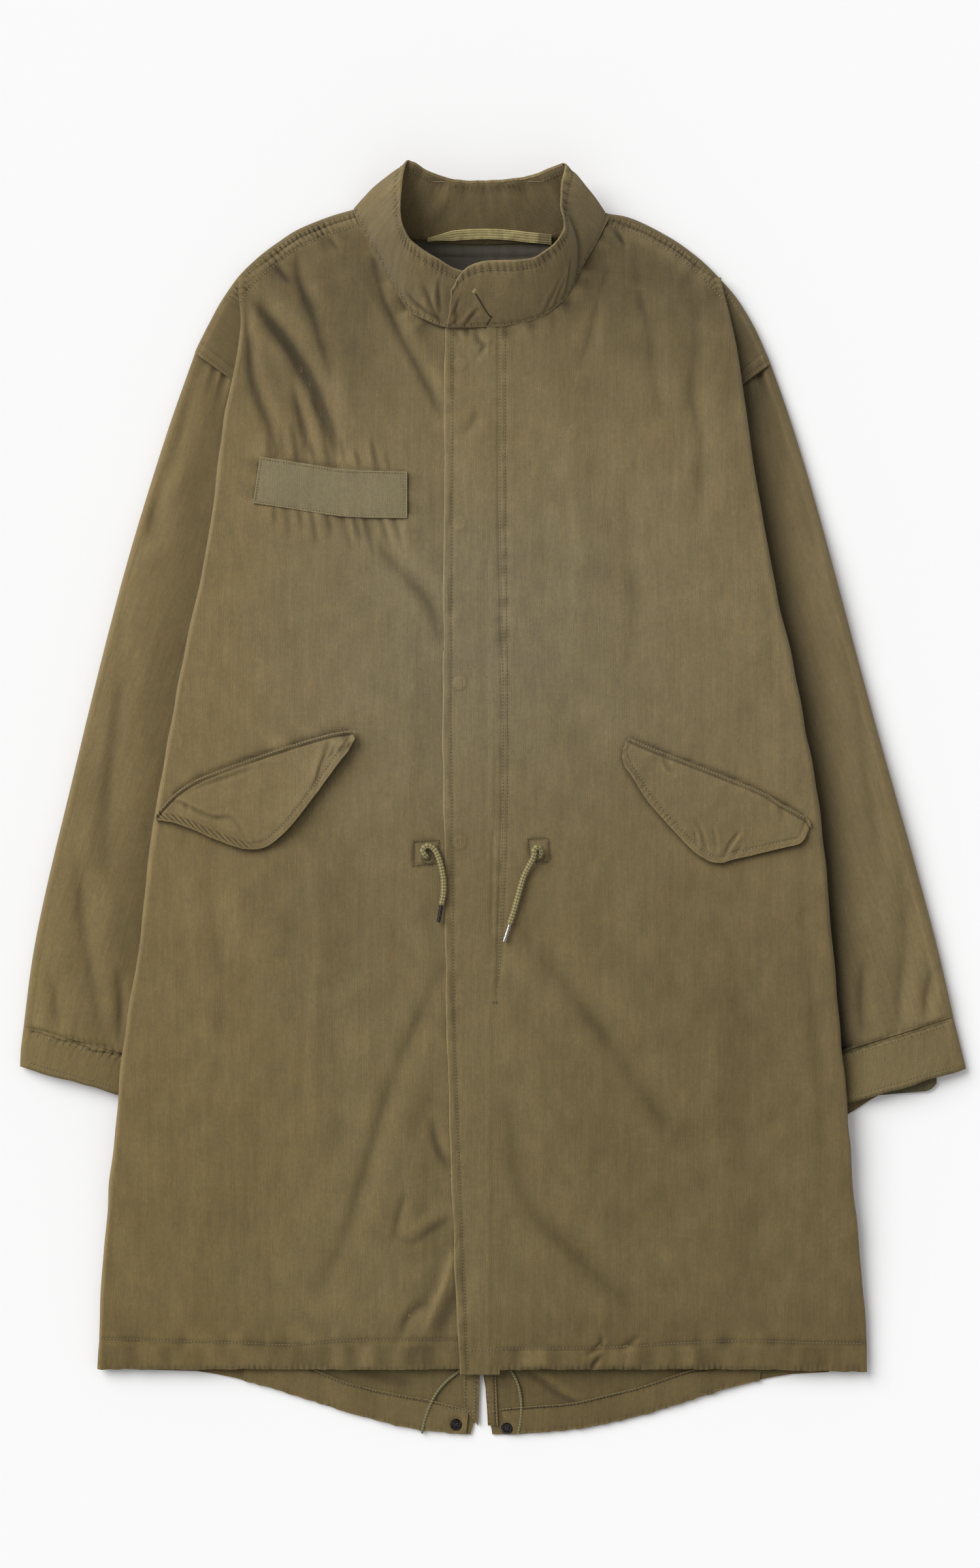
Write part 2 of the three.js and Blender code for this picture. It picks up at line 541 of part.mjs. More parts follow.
// The sheet of the back that lies on the surface, as an outline.
function backSheet() {
  const shape = new THREE.Shape();
  const half = (side) => {
    const s = side.sign;
    const neck = COLLAR.filter((row) => row.footZ < 10 && row.footX * s > 10).map((row) => [
      row.footX,
      row.footY - 0.5,
    ]);
    const shoulder = side.shoulder.map((p) => [s * (p.x + SHEET_INSET * p.inX), p.y + SHEET_INSET * p.inY]);
    const { outerX, outerY, innerX, innerY, rise } = side.armhole;
    const armhole = steps(7).slice(1).map((t) => [
      s * (lerp(outerX, innerX, t) - SEAM_GAP),
      lerp(outerY, innerY, t) + bow(rise, t) + 2 * SEAM_GAP,
    ]);
    const seam = LEVELS.filter((y) => y <= innerY)
      .reverse()
      .map((y) => {
        const run = lerp(SEAM_RUN.beside, SEAM_RUN.below, seamDrop(side, y));
        return [s * (returnEnd(side, y) - run - SEAM_GAP), y];
      });
    neck.sort((a, b) => Math.abs(a[0]) - Math.abs(b[0]));
    const hem = steps(14).map((t) => {
      const x = lerp(TAIL[TAIL.length - 1].x, TAIL[0].x, t);
      return [s * x, read(TAIL, "x", "y", x)];
    });
    const vent = VENT_EDGE.map((row) => [row[side.name], row.y]).reverse();
    vent.push([VENT.x + (s * VENT.slit) / 2, VENT.topY]);
    return [...neck, ...shoulder, ...armhole, ...seam, ...hem, ...vent];
  };
  const neckMiddle = COLLAR.filter((row) => row.footZ < 10 && Math.abs(row.footX) <= 10);
  const outline = [
    ...neckMiddle.map((row) => [row.footX, row.footY - 0.5]),
    ...half(LEFT),
    ...half(RIGHT).reverse(),
  ];
  outline.forEach(([x, y], i) => (i ? shape.lineTo(x, y) : shape.moveTo(x, y)));
  shape.closePath();
  return new THREE.ExtrudeGeometry(shape, { depth: CLOTH, bevelEnabled: false });
}

// The strip of the back that rolls over a shoulder and lies on top of it, under the edge of the front.
function shoulderWrap(side) {
  const underlap = 16;
  const rollReach = 6;
  const grid = side.shoulder.map((p) => {
    const place = (inward, z) =>
      new THREE.Vector3(side.sign * (p.x + inward * p.inX), p.y + inward * p.inY, z);
    const row = [place(underlap, 0), place(rollReach + 2, 0)];
    for (const turn of [0, 0.25, 0.5, 0.75, 1]) {
      const z = (CAP_Z / 2) * (1 - Math.cos(Math.PI * turn));
      row.push(place(rollReach * (1 - Math.sin(Math.PI * turn)), z));
    }
    for (const share of [0.35, 0.7, 1]) row.push(place(lerp(rollReach, p.wrap, share), CAP_Z));
    return row;
  });
  return wall(grid, CLOTH, { out: side.sign });
}

function back() {
  const whole = [RIGHT, LEFT].reduce(
    (made, side) => made.add(solidOf(shoulderWrap(side))),
    solidOf(backSheet()),
  );
  return geometryOf(whole);
}

// A flattened tube through sections of a sleeve or cuff. underReach lengthens its lower layer at the open
// end.
function flatTube(side, sections, thickness, underReach = 0) {
  const outerRound = 7; // reach of the fold along the outer edge
  const innerRound = 4.5; // and along the inner one
  const risesFrom = 3; // how far outside the body's fold the tube starts to stand up
  const risesOver = 26;
  const slack = { share: 0.72, over: 34 }; // the outer edge hangs lower than the middle
  const grid = sections.map((section, k) => {
    const outer = new THREE.Vector2(section.outX, section.outY);
    const inner = new THREE.Vector2(section.inX, section.inY);
    const width = outer.distanceTo(inner);
    const place = (distance, z, reach = 0) => {
      const t = distance / width;
      const p = outer.clone().lerp(inner, t);
      const y = p.y + bow(section.rise, t) - reach;
      return new THREE.Vector3(side.sign * p.x, y, z);
    };
    const heightAt = (distance) => {
      const p = place(distance, 0);
      const clear = Math.abs(p.x) - read(side.body, "y", "edge", p.y);
      const open = ease((clear - risesFrom) / risesOver);
      const full = lerp(slack.share, 1, ease(distance / slack.over));
      return lerp(Math.min(SLEEVE_FLAT, section.stand), section.stand * full, open);
    };
    const ending = k === sections.length - 1 ? underReach : 0;
    const lowest = steps(6).map((t) => {
      const distance = lerp(outerRound, width - innerRound, t);
      return place(distance, 0, ending * ease((t - 0.5) / 0.35));
    });
    const innerFold = [0.25, 0.5, 0.75].map((turn) =>
      place(
        width - innerRound + innerRound * Math.sin(Math.PI * turn),
        (heightAt(width) / 2) * (1 - Math.cos(Math.PI * turn)),
        ending * (1 - turn),
      ),
    );
    const highest = steps(9).map((t) => {
      const distance = lerp(width - innerRound, outerRound, t);
      return place(distance, heightAt(distance));
    });
    const outerFold = [0.75, 0.5, 0.25].map((turn) =>
      place(
        outerRound * (1 - Math.sin(Math.PI * turn)),
        (heightAt(outerRound) / 2) * (1 - Math.cos(Math.PI * turn)),
      ),
    );
    return [...lowest, ...innerFold, ...highest, ...outerFold];
  });
  return wall(grid, thickness, { out: -side.sign, closed: true });
}

// A wall laid on the front: the grid's places, and how far its outer face stands above the cloth.
function laidOn(places, thickness, lift, out = 1) {
  const grid = places.map((row) =>
    row.map(([x, y]) => new THREE.Vector3(x, y, frontHeight(x, y) + thickness + lift)),
  );
  return wall(grid, thickness, { out });
}

function fly() {
  const grid = LEVELS.map((level) => {
    const y = lerp(FLY[0].y, FLY[FLY.length - 1].y, (level - HEM_Y) / (SHOULDER_Y - HEM_Y));
    return steps(3).map((share) => {
      const x = lerp(read(FLY, "y", "free", y), read(FLY, "y", "seam", y), share);
      return new THREE.Vector3(x, y, frontHeight(x, y) + FLY_RAISE);
    });
  });
  return wall(grid, DOUBLE);
}

function flap(side) {
  const { x, y, alongX, alongY } = side.flap;
  const grid = steps(4).map((down) =>
    FLAP.map((row) => [
      side.sign * (x + row.along * alongX + down * row.deep * alongY),
      y + row.along * alongY - down * row.deep * alongX,
    ]),
  );
  return laidOn(grid, DOUBLE, FLAP_LIFT, -side.sign);
}

function nameTape() {
  const length = TAPE[TAPE.length - 1].x - TAPE[0].x;
  const grid = steps(2).map((down) =>
    steps(7).map((t) => {
      const x = TAPE[0].x + length * t - TAPE_SLANT * down * (1 - t);
      return [x, read(TAPE, "x", "y", TAPE[0].x + length * t) - TAPE_DEPTH * down];
    }),
  );
  return laidOn(grid, THIN, LAP_GAP, -1);
}

function collar() {
  const grid = steps(4).map((up) =>
    COLLAR.map((row, i) => {
      const before = COLLAR[Math.max(i - 1, 0)];
      const after = COLLAR[Math.min(i + 1, COLLAR.length - 1)];
      const along = new THREE.Vector2(after.footX - before.footX, after.footY - before.footY).normalize();
      const bow = COLLAR_BULGE * 4 * up * (1 - up) * (row.footZ > 10 ? 1 : 0);
      return new THREE.Vector3(
        lerp(row.footX, row.rimX, up) + along.y * bow,
        lerp(row.footY, row.rimY, up) - along.x * bow,
        lerp(row.footZ, row.rimZ, up),
      );
    }),
  );
  return wall(grid, COLLAR_WALL);
}

// The part of the back's lining that shows through the neck.
function backLining() {
  const grid = steps(3).map((up) =>
    steps(8).map((t) => {
      const reach = lerp(-LINING.halfWidth, LINING.halfWidth, t);
      const top = LINING.topY + LINING.rise * (reach / LINING.halfWidth) ** 2;
      return new THREE.Vector3(LINING.x + reach, lerp(LINING.footY, top, up), CLOTH + LAP_GAP + THIN);
    }),
  );
  return wall(grid, THIN);
}

// The hanger loop, a tape sewn into the back neck seam, lying on the inside of the collar.
function hangerLoop() {
  const middle = COLLAR.find((row) => Math.abs(row.footX) < 10 && row.footZ < 10);
  const rise = (middle.rimZ - middle.footZ) / (middle.rimY - middle.footY);
  const above = (COLLAR_WALL + LAP_GAP + LOOP.thickness) * Math.hypot(1, rise);
  const grid = steps(2).map((across) =>
    steps(12).map((t) => {
      const reach = 2 * t - 1;
      const x = LOOP.x + LOOP.halfLength * reach;
      const y = LOOP.y + LOOP.bow * (1 - reach * reach) + (across - 0.5) * LOOP.width;
      return new THREE.Vector3(x, y, middle.footZ + (y - middle.footY) * rise + above);
    }),
  );
  return wall(grid, LOOP.thickness);
}

// A cord's tube along its route over a surface.
function cordRoute(route, surface) {
  return new THREE.CatmullRomCurve3(
    route.map((p) => new THREE.Vector3(p.x, p.y, surface(p.x, p.y) + p.lift)),
  );
}

function cord(curve, diameter, sides = 8) {
  const section = new THREE.Shape();
  for (let i = 0; i < sides; i++) {
    const angle = (2 * Math.PI * i) / sides;
    const x = (diameter / 2) * Math.cos(angle);
    const y = (diameter / 2) * Math.sin(angle);
    if (i) section.lineTo(x, y);
    else section.moveTo(x, y);
  }
  section.closePath();
  return new THREE.ExtrudeGeometry(section, { extrudePath: curve, steps: 18, bevelEnabled: false });
}

const onFront = (x, y) => frontHeight(x, y) - dipUnderFly(x);
const onTail = () => CLOTH;

// The metal tip on a waist cord, in line with its end.
function aglet(curve) {
  const end = curve.getPointAt(1);
  const direction = curve.getTangentAt(1).setZ(-AGLET.dip).normalize();
  const tip = new THREE.CylinderGeometry(AGLET.radius, AGLET.radius, AGLET.length, 12);
  const mesh = new THREE.Mesh(tip);
  mesh.quaternion.setFromUnitVectors(new THREE.Vector3(0, 1, 0), direction);
  mesh.position.copy(end).addScaledVector(direction, AGLET.length / 2 + AGLET.gap);
  return mesh;
}

// A press stud's socket: flange, raised ring and sunken middle.
function snapSocket() {
  const profile = [
    [0, 0],
    [SNAP_R, 0],
    [SNAP_R, 1],
    [SNAP_R - 1, 2],
    [SNAP_R - 2, 2],
    [SNAP_R - 2.6, 1.2],
    [0, 1.2],
  ];
  const lathe = new THREE.LatheGeometry(
    profile.map(([r, z]) => new THREE.Vector2(r, z)),
    20,
  );
  return lathe.rotateX(Math.PI / 2);
}

// The end of the adjusting tab, which shows between the layers of the left cuff.
function cuffTab() {
  const { startX, endX, lowY, slope, width } = CUFF_TAB;
  const grid = steps(2).map((across) =>
    steps(8).map((t) => {
      const past = clamp((t - 1 + CUFF_TAB.corner) / CUFF_TAB.corner, 0, 1);
      const rounded = Math.sqrt(1 - 0.8 * past * past);
      const x = lerp(startX, endX, t);
      const middle = lowY + slope * (x - startX) + width / 2;
      return new THREE.Vector3(x, middle + (across - 0.5) * width * rounded, DOUBLE + LAP_GAP + THIN);
    }),
  );
  return wall(grid, THIN);
}

// ---------------------------------------------------------------------------------------------------------
// The coat
// ---------------------------------------------------------------------------------------------------------

const shell = new THREE.MeshStandardMaterial({ color: 0x786b49, roughness: 0.85, metalness: 0 });
const lining = new THREE.MeshStandardMaterial({ color: 0x5c5544, roughness: 0.8, metalness: 0 });
const tapeCloth = new THREE.MeshStandardMaterial({ color: 0x867c58, roughness: 0.9, metalness: 0 });
const braid = new THREE.MeshStandardMaterial({ color: 0x958b58, roughness: 0.9, metalness: 0 });
const thinBraid = new THREE.MeshStandardMaterial({ color: 0x6b6a52, roughness: 0.85, metalness: 0 });
const darkMetal = new THREE.MeshStandardMaterial({ color: 0x2b2a2d, roughness: 0.3, metalness: 1 });
const paleMetal = new THREE.MeshStandardMaterial({ color: 0x8c8780, roughness: 0.3, metalness: 1 });

const coat = new THREE.Group();

function add(name, geometry, material) {
  const mesh = geometry.isMesh ? geometry : new THREE.Mesh(geometry);
  mesh.name = name;
  mesh.material = material;
  coat.add(mesh);
  return mesh;
}

add("back", back(), shell);
add("back_lining", backLining(), lining);
for (const side of [RIGHT, LEFT]) {
  add(`front_${side.name}`, front(side), shell);
  add(`sleeve_${side.name}`, flatTube(side, side.sleeve, CLOTH), shell);
  add(`cuff_${side.name}`, flatTube(side, side.cuff, DOUBLE, side.underCuff), shell);
  add(`pocket_flap_${side.name}`, flap(side), shell);
  const waist = cordRoute(side.waistCord, onFront);
  add(`waist_cord_${side.name}`, cord(waist, CORD_D), braid);
  add(`waist_aglet_${side.name}`, aglet(waist), side === RIGHT ? darkMetal : paleMetal);
  add(`hem_cord_${side.name}`, cord(cordRoute(side.hemCord, onTail), HEM_CORD_D), thinBraid);
  const socket = add(`snap_${side.name}`, snapSocket(), darkMetal);
  socket.position.set(side.snap.x, side.snap.y, CLOTH + SNAP_GAP);
}
add("cuff_tab_left", cuffTab(), lining);
add("fly", fly(), shell);
add("collar", collar(), shell);
add("hanger_loop", hangerLoop(), braid);
add("name_tape", nameTape(), tapeCloth);

export default coat;
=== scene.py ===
"""Looks of a fishtail parka laid flat on its back: collar toward +Y, closed front facing +Z.

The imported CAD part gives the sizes. Each cloth piece is a fine grid on the surface of its CAD node, with
its creases, seam puckers and stitches added in the mesh. Lengths are millimetres in the row frame until a
mesh is made, which is in metres. Left and right are the wearer's, so the coat's right half lies at -X.
"""
from functools import partial

import bmesh
import bpy
import numpy as np
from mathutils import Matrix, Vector
from mathutils.bvhtree import BVHTree


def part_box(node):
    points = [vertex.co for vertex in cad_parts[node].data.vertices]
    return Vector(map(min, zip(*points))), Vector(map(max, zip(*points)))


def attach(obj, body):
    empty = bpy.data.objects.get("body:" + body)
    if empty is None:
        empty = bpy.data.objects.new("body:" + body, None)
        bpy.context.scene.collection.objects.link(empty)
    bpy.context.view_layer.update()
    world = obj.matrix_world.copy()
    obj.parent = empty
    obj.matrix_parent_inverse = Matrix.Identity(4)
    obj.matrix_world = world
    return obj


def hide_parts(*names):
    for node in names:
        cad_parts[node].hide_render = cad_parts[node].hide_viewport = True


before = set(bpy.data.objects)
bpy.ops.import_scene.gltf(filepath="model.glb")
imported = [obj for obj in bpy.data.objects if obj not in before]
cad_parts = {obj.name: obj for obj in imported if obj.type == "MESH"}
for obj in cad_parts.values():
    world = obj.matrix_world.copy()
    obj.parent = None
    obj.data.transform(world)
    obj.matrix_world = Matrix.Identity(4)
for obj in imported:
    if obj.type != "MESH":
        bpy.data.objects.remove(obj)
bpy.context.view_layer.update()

MM = 0.001
HEM = -489  # lower edge of the fronts
SHOULDER = 447  # where the side folds begin
FOLD_REACH = 5  # how far a side fold rounds outward
CLOTH = 1.4
DOUBLE = 2.0
COLLAR_WALL = 2.4
THIN = 0.9
FLY_DIP = 2.2  # how far the right front dips under the fly
FLY_RAISE = 0.8
ROLL_LENGTH = 50  # over which the fronts roll down to the shoulder seams
PROBED_TO = 380  # up to here the closed front's height is read from the CAD; above, it rolls off
MIDDLE_LINE = 85.0  # distance from the centre line at which each front's height is read
UNDER_TOP = 9.6  # the part of a front folded under lies below this height
CLEAR_OF_FLY = 90  # and farther than this from the centre line
RETURN_TOP = 9.5  # outer face of that part, where it lies flat on the back


# ---- Reading the CAD surfaces ----

def cad_surface(node):
    """Points and triangles of a CAD node, in millimetres."""
    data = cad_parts[node].data
    data.calc_loop_triangles()
    points = np.empty(3 * len(data.vertices))
    data.vertices.foreach_get("co", points)
    corners = np.empty(3 * len(data.loop_triangles), int)
    data.loop_triangles.foreach_get("vertices", corners)
    return points.reshape(-1, 3) / MM, corners.reshape(-1, 3)


SURFACES = {node: cad_surface(node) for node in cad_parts}


def section(node, place, normal):
    """Points where a plane cuts a CAD node."""
    points, corners = SURFACES[node]
    height = (points - np.array(place, float)) @ np.array(normal, float)
    a = corners.ravel()
    b = corners[:, [1, 2, 0]].ravel()
    crossing = (height[a] > 0) != (height[b] > 0)
    a = a[crossing]
    b = b[crossing]
    share = height[a] / (height[a] - height[b])
    return points[a] + (points[b] - points[a]) * share[:, None]


def cut_at_x(node, x):
    return section(node, (x, 0, 0), (1, 0, 0))


def cut_at_y(node, y):
    return section(node, (0, y, 0), (0, 1, 0))


def box_of(node):
    """The low and the high corner of a CAD node's box, in millimetres."""
    return [np.array(corner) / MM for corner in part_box(node)]


def probe(node, x, y, above=True):
    """Heights where upright rays meet a CAD node, from above or from below; misses take the median."""
    points, corners = SURFACES[node]
    tree = BVHTree.FromPolygons(points.tolist(), corners.tolist())
    start = 300 if above else -300
    way = Vector((0, 0, -start))
    heights = np.full(np.size(x), np.nan)
    for i, (px, py) in enumerate(zip(np.ravel(x), np.ravel(y))):
        hit = tree.ray_cast(Vector((px, py, start)), way)[0]
        if hit is not None:
            heights[i] = hit.z
    heights[np.isnan(heights)] = np.nanmedian(heights)
    return heights.reshape(np.shape(x))


# ---- Curves and fields ----

def lerp(a, b, t):
    return a + (b - a) * t


def ease(t):
    t = np.clip(t, 0, 1)
    return t * t * (3 - 2 * t)


def bell(distance, width, power=2):
    """1 where the distance is 0, and a smooth fall to nearly 0 at about twice the width."""
    return np.exp(-((distance / width) ** power))


def unit(vectors):
    return vectors / np.linalg.norm(vectors, axis=-1, keepdims=True)


def runs(points, axis=0):
    """Lengths along lines of points, from the first point of each."""
    first = np.take(points, [0], axis)
    return np.cumsum(np.linalg.norm(np.diff(points, axis=axis, prepend=first), axis=-1), axis)


def sides_of(corners):
    """The sides of a closed outline, as pairs of its corners."""
    return zip(corners, [*corners[1:], corners[0]])


def smooth(values, radius):
    """A row of numbers, averaged over neighbours to that many places away, twice."""
    kernel = np.ones(2 * radius + 1) / (2 * radius + 1)
    for _ in range(2):
        padded = np.pad(values, radius, mode="reflect", reflect_type="odd")
        values = np.convolve(padded, kernel, mode="valid")
    return values


def blurred(grid, radius):
    """A grid of numbers, smoothed along both ways."""
    for _ in range(2):
        grid = np.apply_along_axis(smooth, 0, grid, radius)
        grid = grid.T
    return grid


def curve(points, spacing=4.0):
    """A smooth line through hand-placed points, with its own points about that far apart."""
    points = np.array(points, float)
    before = np.vstack([2 * points[0] - points[1], points[:-1]])
    after = np.vstack([points[1:], 2 * points[-1] - points[-2]])
    slope = (after - before) / 2
    made = []
    for i in range(len(points) - 1):
        count = max(1, int(np.linalg.norm(points[i + 1] - points[i]) / spacing))
        t = np.arange(count)[:, None] / count
        made.append(
            (2 * t**3 - 3 * t**2 + 1) * points[i]
            + (t**3 - 2 * t**2 + t) * slope[i]
            + (3 * t**2 - 2 * t**3) * points[i + 1]
            + (t**3 - t**2) * slope[i + 1]
        )
    return np.vstack([*made, points[-1:]])


def spaced(count, fine=()):
    """Shares from 0 to 1: that many even steps, and extra ones near both ends."""
    shares = np.linspace(0, 1, count + 1 - 2 * len(fine))
    return np.sort(np.concatenate([shares, fine, 1 - np.array(fine)]))


def noise(x, y, width, height, seed):
    """Smooth seeded noise with blobs of about that size, mostly between -1 and 1."""
    lattice = np.random.default_rng(seed).standard_normal((97, 89))
    column = np.asarray(x, float) / width + 200.5
    row = np.asarray(y, float) / height + 200.5
    i = np.floor(column).astype(int)
    j = np.floor(row).astype(int)

    def weights(t):
        return ((1 - t) ** 3 / 6, (3 * t**3 - 6 * t**2 + 4) / 6, (3 * (t**2 + t - t**3) + 1) / 6, t**3 / 6)

    total = 0
    for a, across in enumerate(weights(column - i)):
        for b, along in enumerate(weights(row - j)):
            total = total + across * along * lattice[(j + b) % 97, (i + a) % 89]
    return 1.6 * total


def ripple(run, width, seed):
    """Smooth seeded noise along a line."""
    return noise(run, 0 * run, width, 1, seed)


def near_line(x, y, path, reach):
    """Points within reach of a line: their numbers, distances, sides and runs along it; and its length."""
    x = np.ravel(x)
    y = np.ravel(y)
    path = np.asarray(path, float)
    low = path.min(0) - reach
    high = path.max(0) + reach
    near = np.flatnonzero((x > low[0]) & (x < high[0]) & (y > low[1]) & (y < high[1]))
    px = x[near]
    py = y[near]
    distance = np.full(near.size, np.inf)
    side = np.zeros(near.size)
    run = np.zeros(near.size)
    length = 0.0
    for (ax, ay), (bx, by) in zip(path[:-1], path[1:]):
        sx = bx - ax
        sy = by - ay
        size = np.hypot(sx, sy)
        share = np.clip(((px - ax) * sx + (py - ay) * sy) / size**2, 0, 1)
        dx = px - ax - share * sx
        dy = py - ay - share * sy
        found = np.hypot(dx, dy)
        closer = found < distance
        distance[closer] = found[closer]
        side[closer] = np.sign(sx * dy - sy * dx)[closer]
        run[closer] = (length + share * size)[closer]
        length += size
    return near, distance, side, run, length


CREASING = 2.0
PUCKERING = 2.2
GROOVING = 1.8


def crease(field, x, y, width, depth, points):
    """Adds a trough with a sharp bottom and a lower ridge on its left side; a negative depth turns it over.

    field holds a grid of heights and one of tones; the tones get painted shade along the trough's sharp
    bottom."""
    near, distance, side, run, length = near_line(x, y, curve(points), 5 * abs(width))
    taper = np.sqrt(np.sin(np.pi * np.clip((run + 0.04 * length) / (1.08 * length), 0, 1)))
    signed = distance * side
    uneven = 1 + 0.25 * ripple(run, 28, int(abs(points[0][0]) * 7))
    sharp = max(0.4 * width, 1.7)
    core = bell(signed, sharp)
    trough = 0.75 * bell(signed, width) + 0.25 * core
    ridge = bell(signed - 1.9 * abs(width), 1.3 * width)
    amount = CREASING * depth * taper * uneven
    heights, tones = field.reshape(2, -1)
    heights[near] += amount * (0.45 * ridge - trough)
    # Painted shade along the bottom of the trough.
    tones[near] -= 0.022 * np.abs(amount) * core


def seam(field, x, y, points, pucker=0.45, wave=8.0, reach=9.0, groove=0.45, seed=1):
    """Adds a sewn line: a groove, and puckers that run out from it, with painted light and shade in its
    tones.
    """
    near, distance, side, run, length = near_line(x, y, curve(points), 3.2 * reach)
    ends = ease(run / 4) * ease((length - run) / 4)
    bent = run + 0.3 * distance * ripple(run, 35, seed + 5)
    puckers = np.clip(noise(bent, side * 3, wave, 50, seed), -1.1, 1.1)
    strength = np.clip(0.6 + 0.4 * noise(run, side, 45, 45, seed + 9), 0.1, 1.1)
    fade = bell(distance, reach, 1.5)
    line = bell(distance, 1.7)
    heights, tones = field.reshape(2, -1)
    heights[near] += ends * (PUCKERING * pucker * puckers * strength * fade - GROOVING * groove * line)
    # Painted highlight where the puckers rise, painted shade where they sink and in the groove.
    tones[near] += ends * (0.09 * PUCKERING * pucker * puckers * strength * fade - 0.3 * groove * line)


def box_seam(field, x, y, corners, pucker, wave, reach, groove, seed):
    """Sewn lines round a closed outline."""
    for a, b in sides_of(corners):
        seam(field, x, y, [a, lerp(np.array(a), np.array(b), 0.5), b], pucker, wave, reach, groove, seed)


def ticks(run, pitch, seed):
    """Narrow dark lines across a run, about a pitch apart but uneven: 1 in a line and 0 between."""
    phase = 2 * np.pi * run / pitch + 2.2 * ripple(run, 3.1 * pitch, seed)
    strength = np.clip(0.7 + 0.4 * ripple(run, 2.3 * pitch, seed + 1), 0.25, 1.15)
    return strength * np.exp(-2.2 * (1 + np.cos(phase)))


def graded(count, low, high, zones):
    """Shares from 0 to 1 from low to high, closer together in the zones (from, to, how much)."""
    at = np.linspace(low, high, 4000)
    density = np.ones(at.size)
    for start, end, more in zones:
        density += more * ease((at - start + 6) / 12) * ease((end - at + 6) / 12)
    total = np.cumsum(density)
    total = (total - total[0]) / (total[-1] - total[0])
    return np.interp(np.linspace(0, 1, count + 1), total, (at - low) / (high - low))


# ---- Meshes ----

def add_mesh(name, points, faces, material, attributes, sharp=50, node=None, slot="shell_cotton"):
    """A smooth-shaded mesh object in metres on the coat's one body, which may stand for a CAD node."""
    mesh = bpy.data.meshes.new(name)
    mesh.from_pydata((np.asarray(points) * MM).tolist(), [], faces)
    for key, values in attributes.items():
        layer = mesh.attributes.new(key, "FLOAT_VECTOR", "POINT")
        layer.data.foreach_set("vector", np.ascontiguousarray(values, dtype=np.float32).ravel())
    mesh.shade_smooth()
    mesh.set_sharp_from_angle(angle=np.radians(sharp))
    mesh.materials.append(material)
    piece = bpy.data.objects.new(name, mesh)
    bpy.context.scene.collection.objects.link(piece)
    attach(piece, "root")
    if node:
        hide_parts(node)
    return piece


def face_normals(grid, closed=False):
    """Unit normals of a grid of points; its columns wrap round if it is closed."""
    if closed:
        across = np.roll(grid, -1, 1) - np.roll(grid, 1, 1)
    else:
        padded = np.concatenate([grid[:, :1], grid, grid[:, -1:]], 1)
        across = padded[:, 2:] - padded[:, :-2]
    padded = np.concatenate([grid[:1], grid, grid[-1:]], 0)
    along = padded[2:] - padded[:-2]
    return unit(np.cross(across, along))


def shell(name, grid, thickness, material, dye, grain, every=4, closed=False, out=1, **made_as):
    """A closed wall of cloth: a fine outer face, an inner face with every few points, and rims between them.

    The per-point tone multiplies the cloth's colour, painted light and shade included, and grain holds
    places along the weave, both for each outer point."""
    rows, columns = grid.shape[:2]
    inner = (grid - out * thickness * face_normals(grid, closed))[::every, ::every]
    inner_rows, inner_columns = inner.shape[:2]
    outer_count = rows * columns
    points = np.vstack([grid.reshape(-1, 3), inner.reshape(-1, 3)])
    attributes = {
        key: np.vstack([values.reshape(-1, 3), values[::every, ::every].reshape(-1, 3)])
        for key, values in (("dye", dye), ("grain", grain))
    }

    def quads(count_rows, count_columns, start):
        i, j = np.meshgrid(
            np.arange(count_rows - 1), np.arange(count_columns - (0 if closed else 1)), indexing="ij"
        )
        after = (j + 1) % count_columns
        a = start + i * count_columns + j
        b = start + i * count_columns + after
        return np.stack([a, b, b + count_columns, a + count_columns], -1).reshape(-1, 4)

    outer_faces = quads(rows, columns, 0)
    inner_faces = quads(inner_rows, inner_columns, outer_count)[:, ::-1]
    rims = []
    steps = range(inner_columns if closed else inner_columns - 1)
    for row, inner_row, turned in ((0, 0, False), (rows - 1, inner_rows - 1, True)):
        for k in steps:
            fine = [row * columns + (k * every + m) % columns for m in range(every + 1)]
            coarse = [outer_count + inner_row * inner_columns + (k + m) % inner_columns for m in (0, 1)]
            ring = fine[::-1] + coarse
            rims.append(ring[::-1] if turned else ring)
    if not closed:
        for column, inner_column, turned in ((0, 0, True), (columns - 1, inner_columns - 1, False)):
            for k in range(inner_rows - 1):
                fine = [(k * every + m) * columns + column for m in range(every + 1)]
                coarse = [outer_count + (k + m) * inner_columns + inner_column for m in (0, 1)]
                ring = fine[::-1] + coarse
                rims.append(ring[::-1] if turned else ring)
    faces = outer_faces.tolist() + inner_faces.tolist() + rims
    if out < 0:
        faces = [face[::-1] for face in faces]
    return add_mesh(name, points, faces, material, attributes, **made_as)


def rounded_edges(grid, radius, sides, out=1):
    """Bends a grid's free edges down, as folded cloth does. sides names them: top, bottom, left, right."""
    normal = face_normals(grid) * out
    rows, columns = grid.shape[:2]
    for side in sides:
        along_rows = side in ("top", "bottom")
        steps = np.linalg.norm(np.diff(grid, axis=0 if along_rows else 1), axis=2)
        if along_rows:
            distance = np.vstack([np.zeros((1, columns)), np.cumsum(steps, 0)])
        else:
            distance = np.hstack([np.zeros((rows, 1)), np.cumsum(steps, 1)])
        if side == "top":
            distance = distance[-1:] - distance
        if side == "right":
            distance = distance[:, -1:] - distance
        bend = radius * (1 - np.sqrt(1 - np.clip(1 - distance / radius, 0, 1) ** 2))
        grid = grid - normal * bend[:, :, None]
    return grid


# ---- Materials ----

def srgb(red, green, blue):
    """Linear colour from 0 to 255 steps of a screen colour."""
    value = np.array([red, green, blue]) / 255
    linear = np.where(value <= 0.04045, value / 12.92, ((value + 0.055) / 1.055) ** 2.4)
    return (*linear.tolist(), 1)


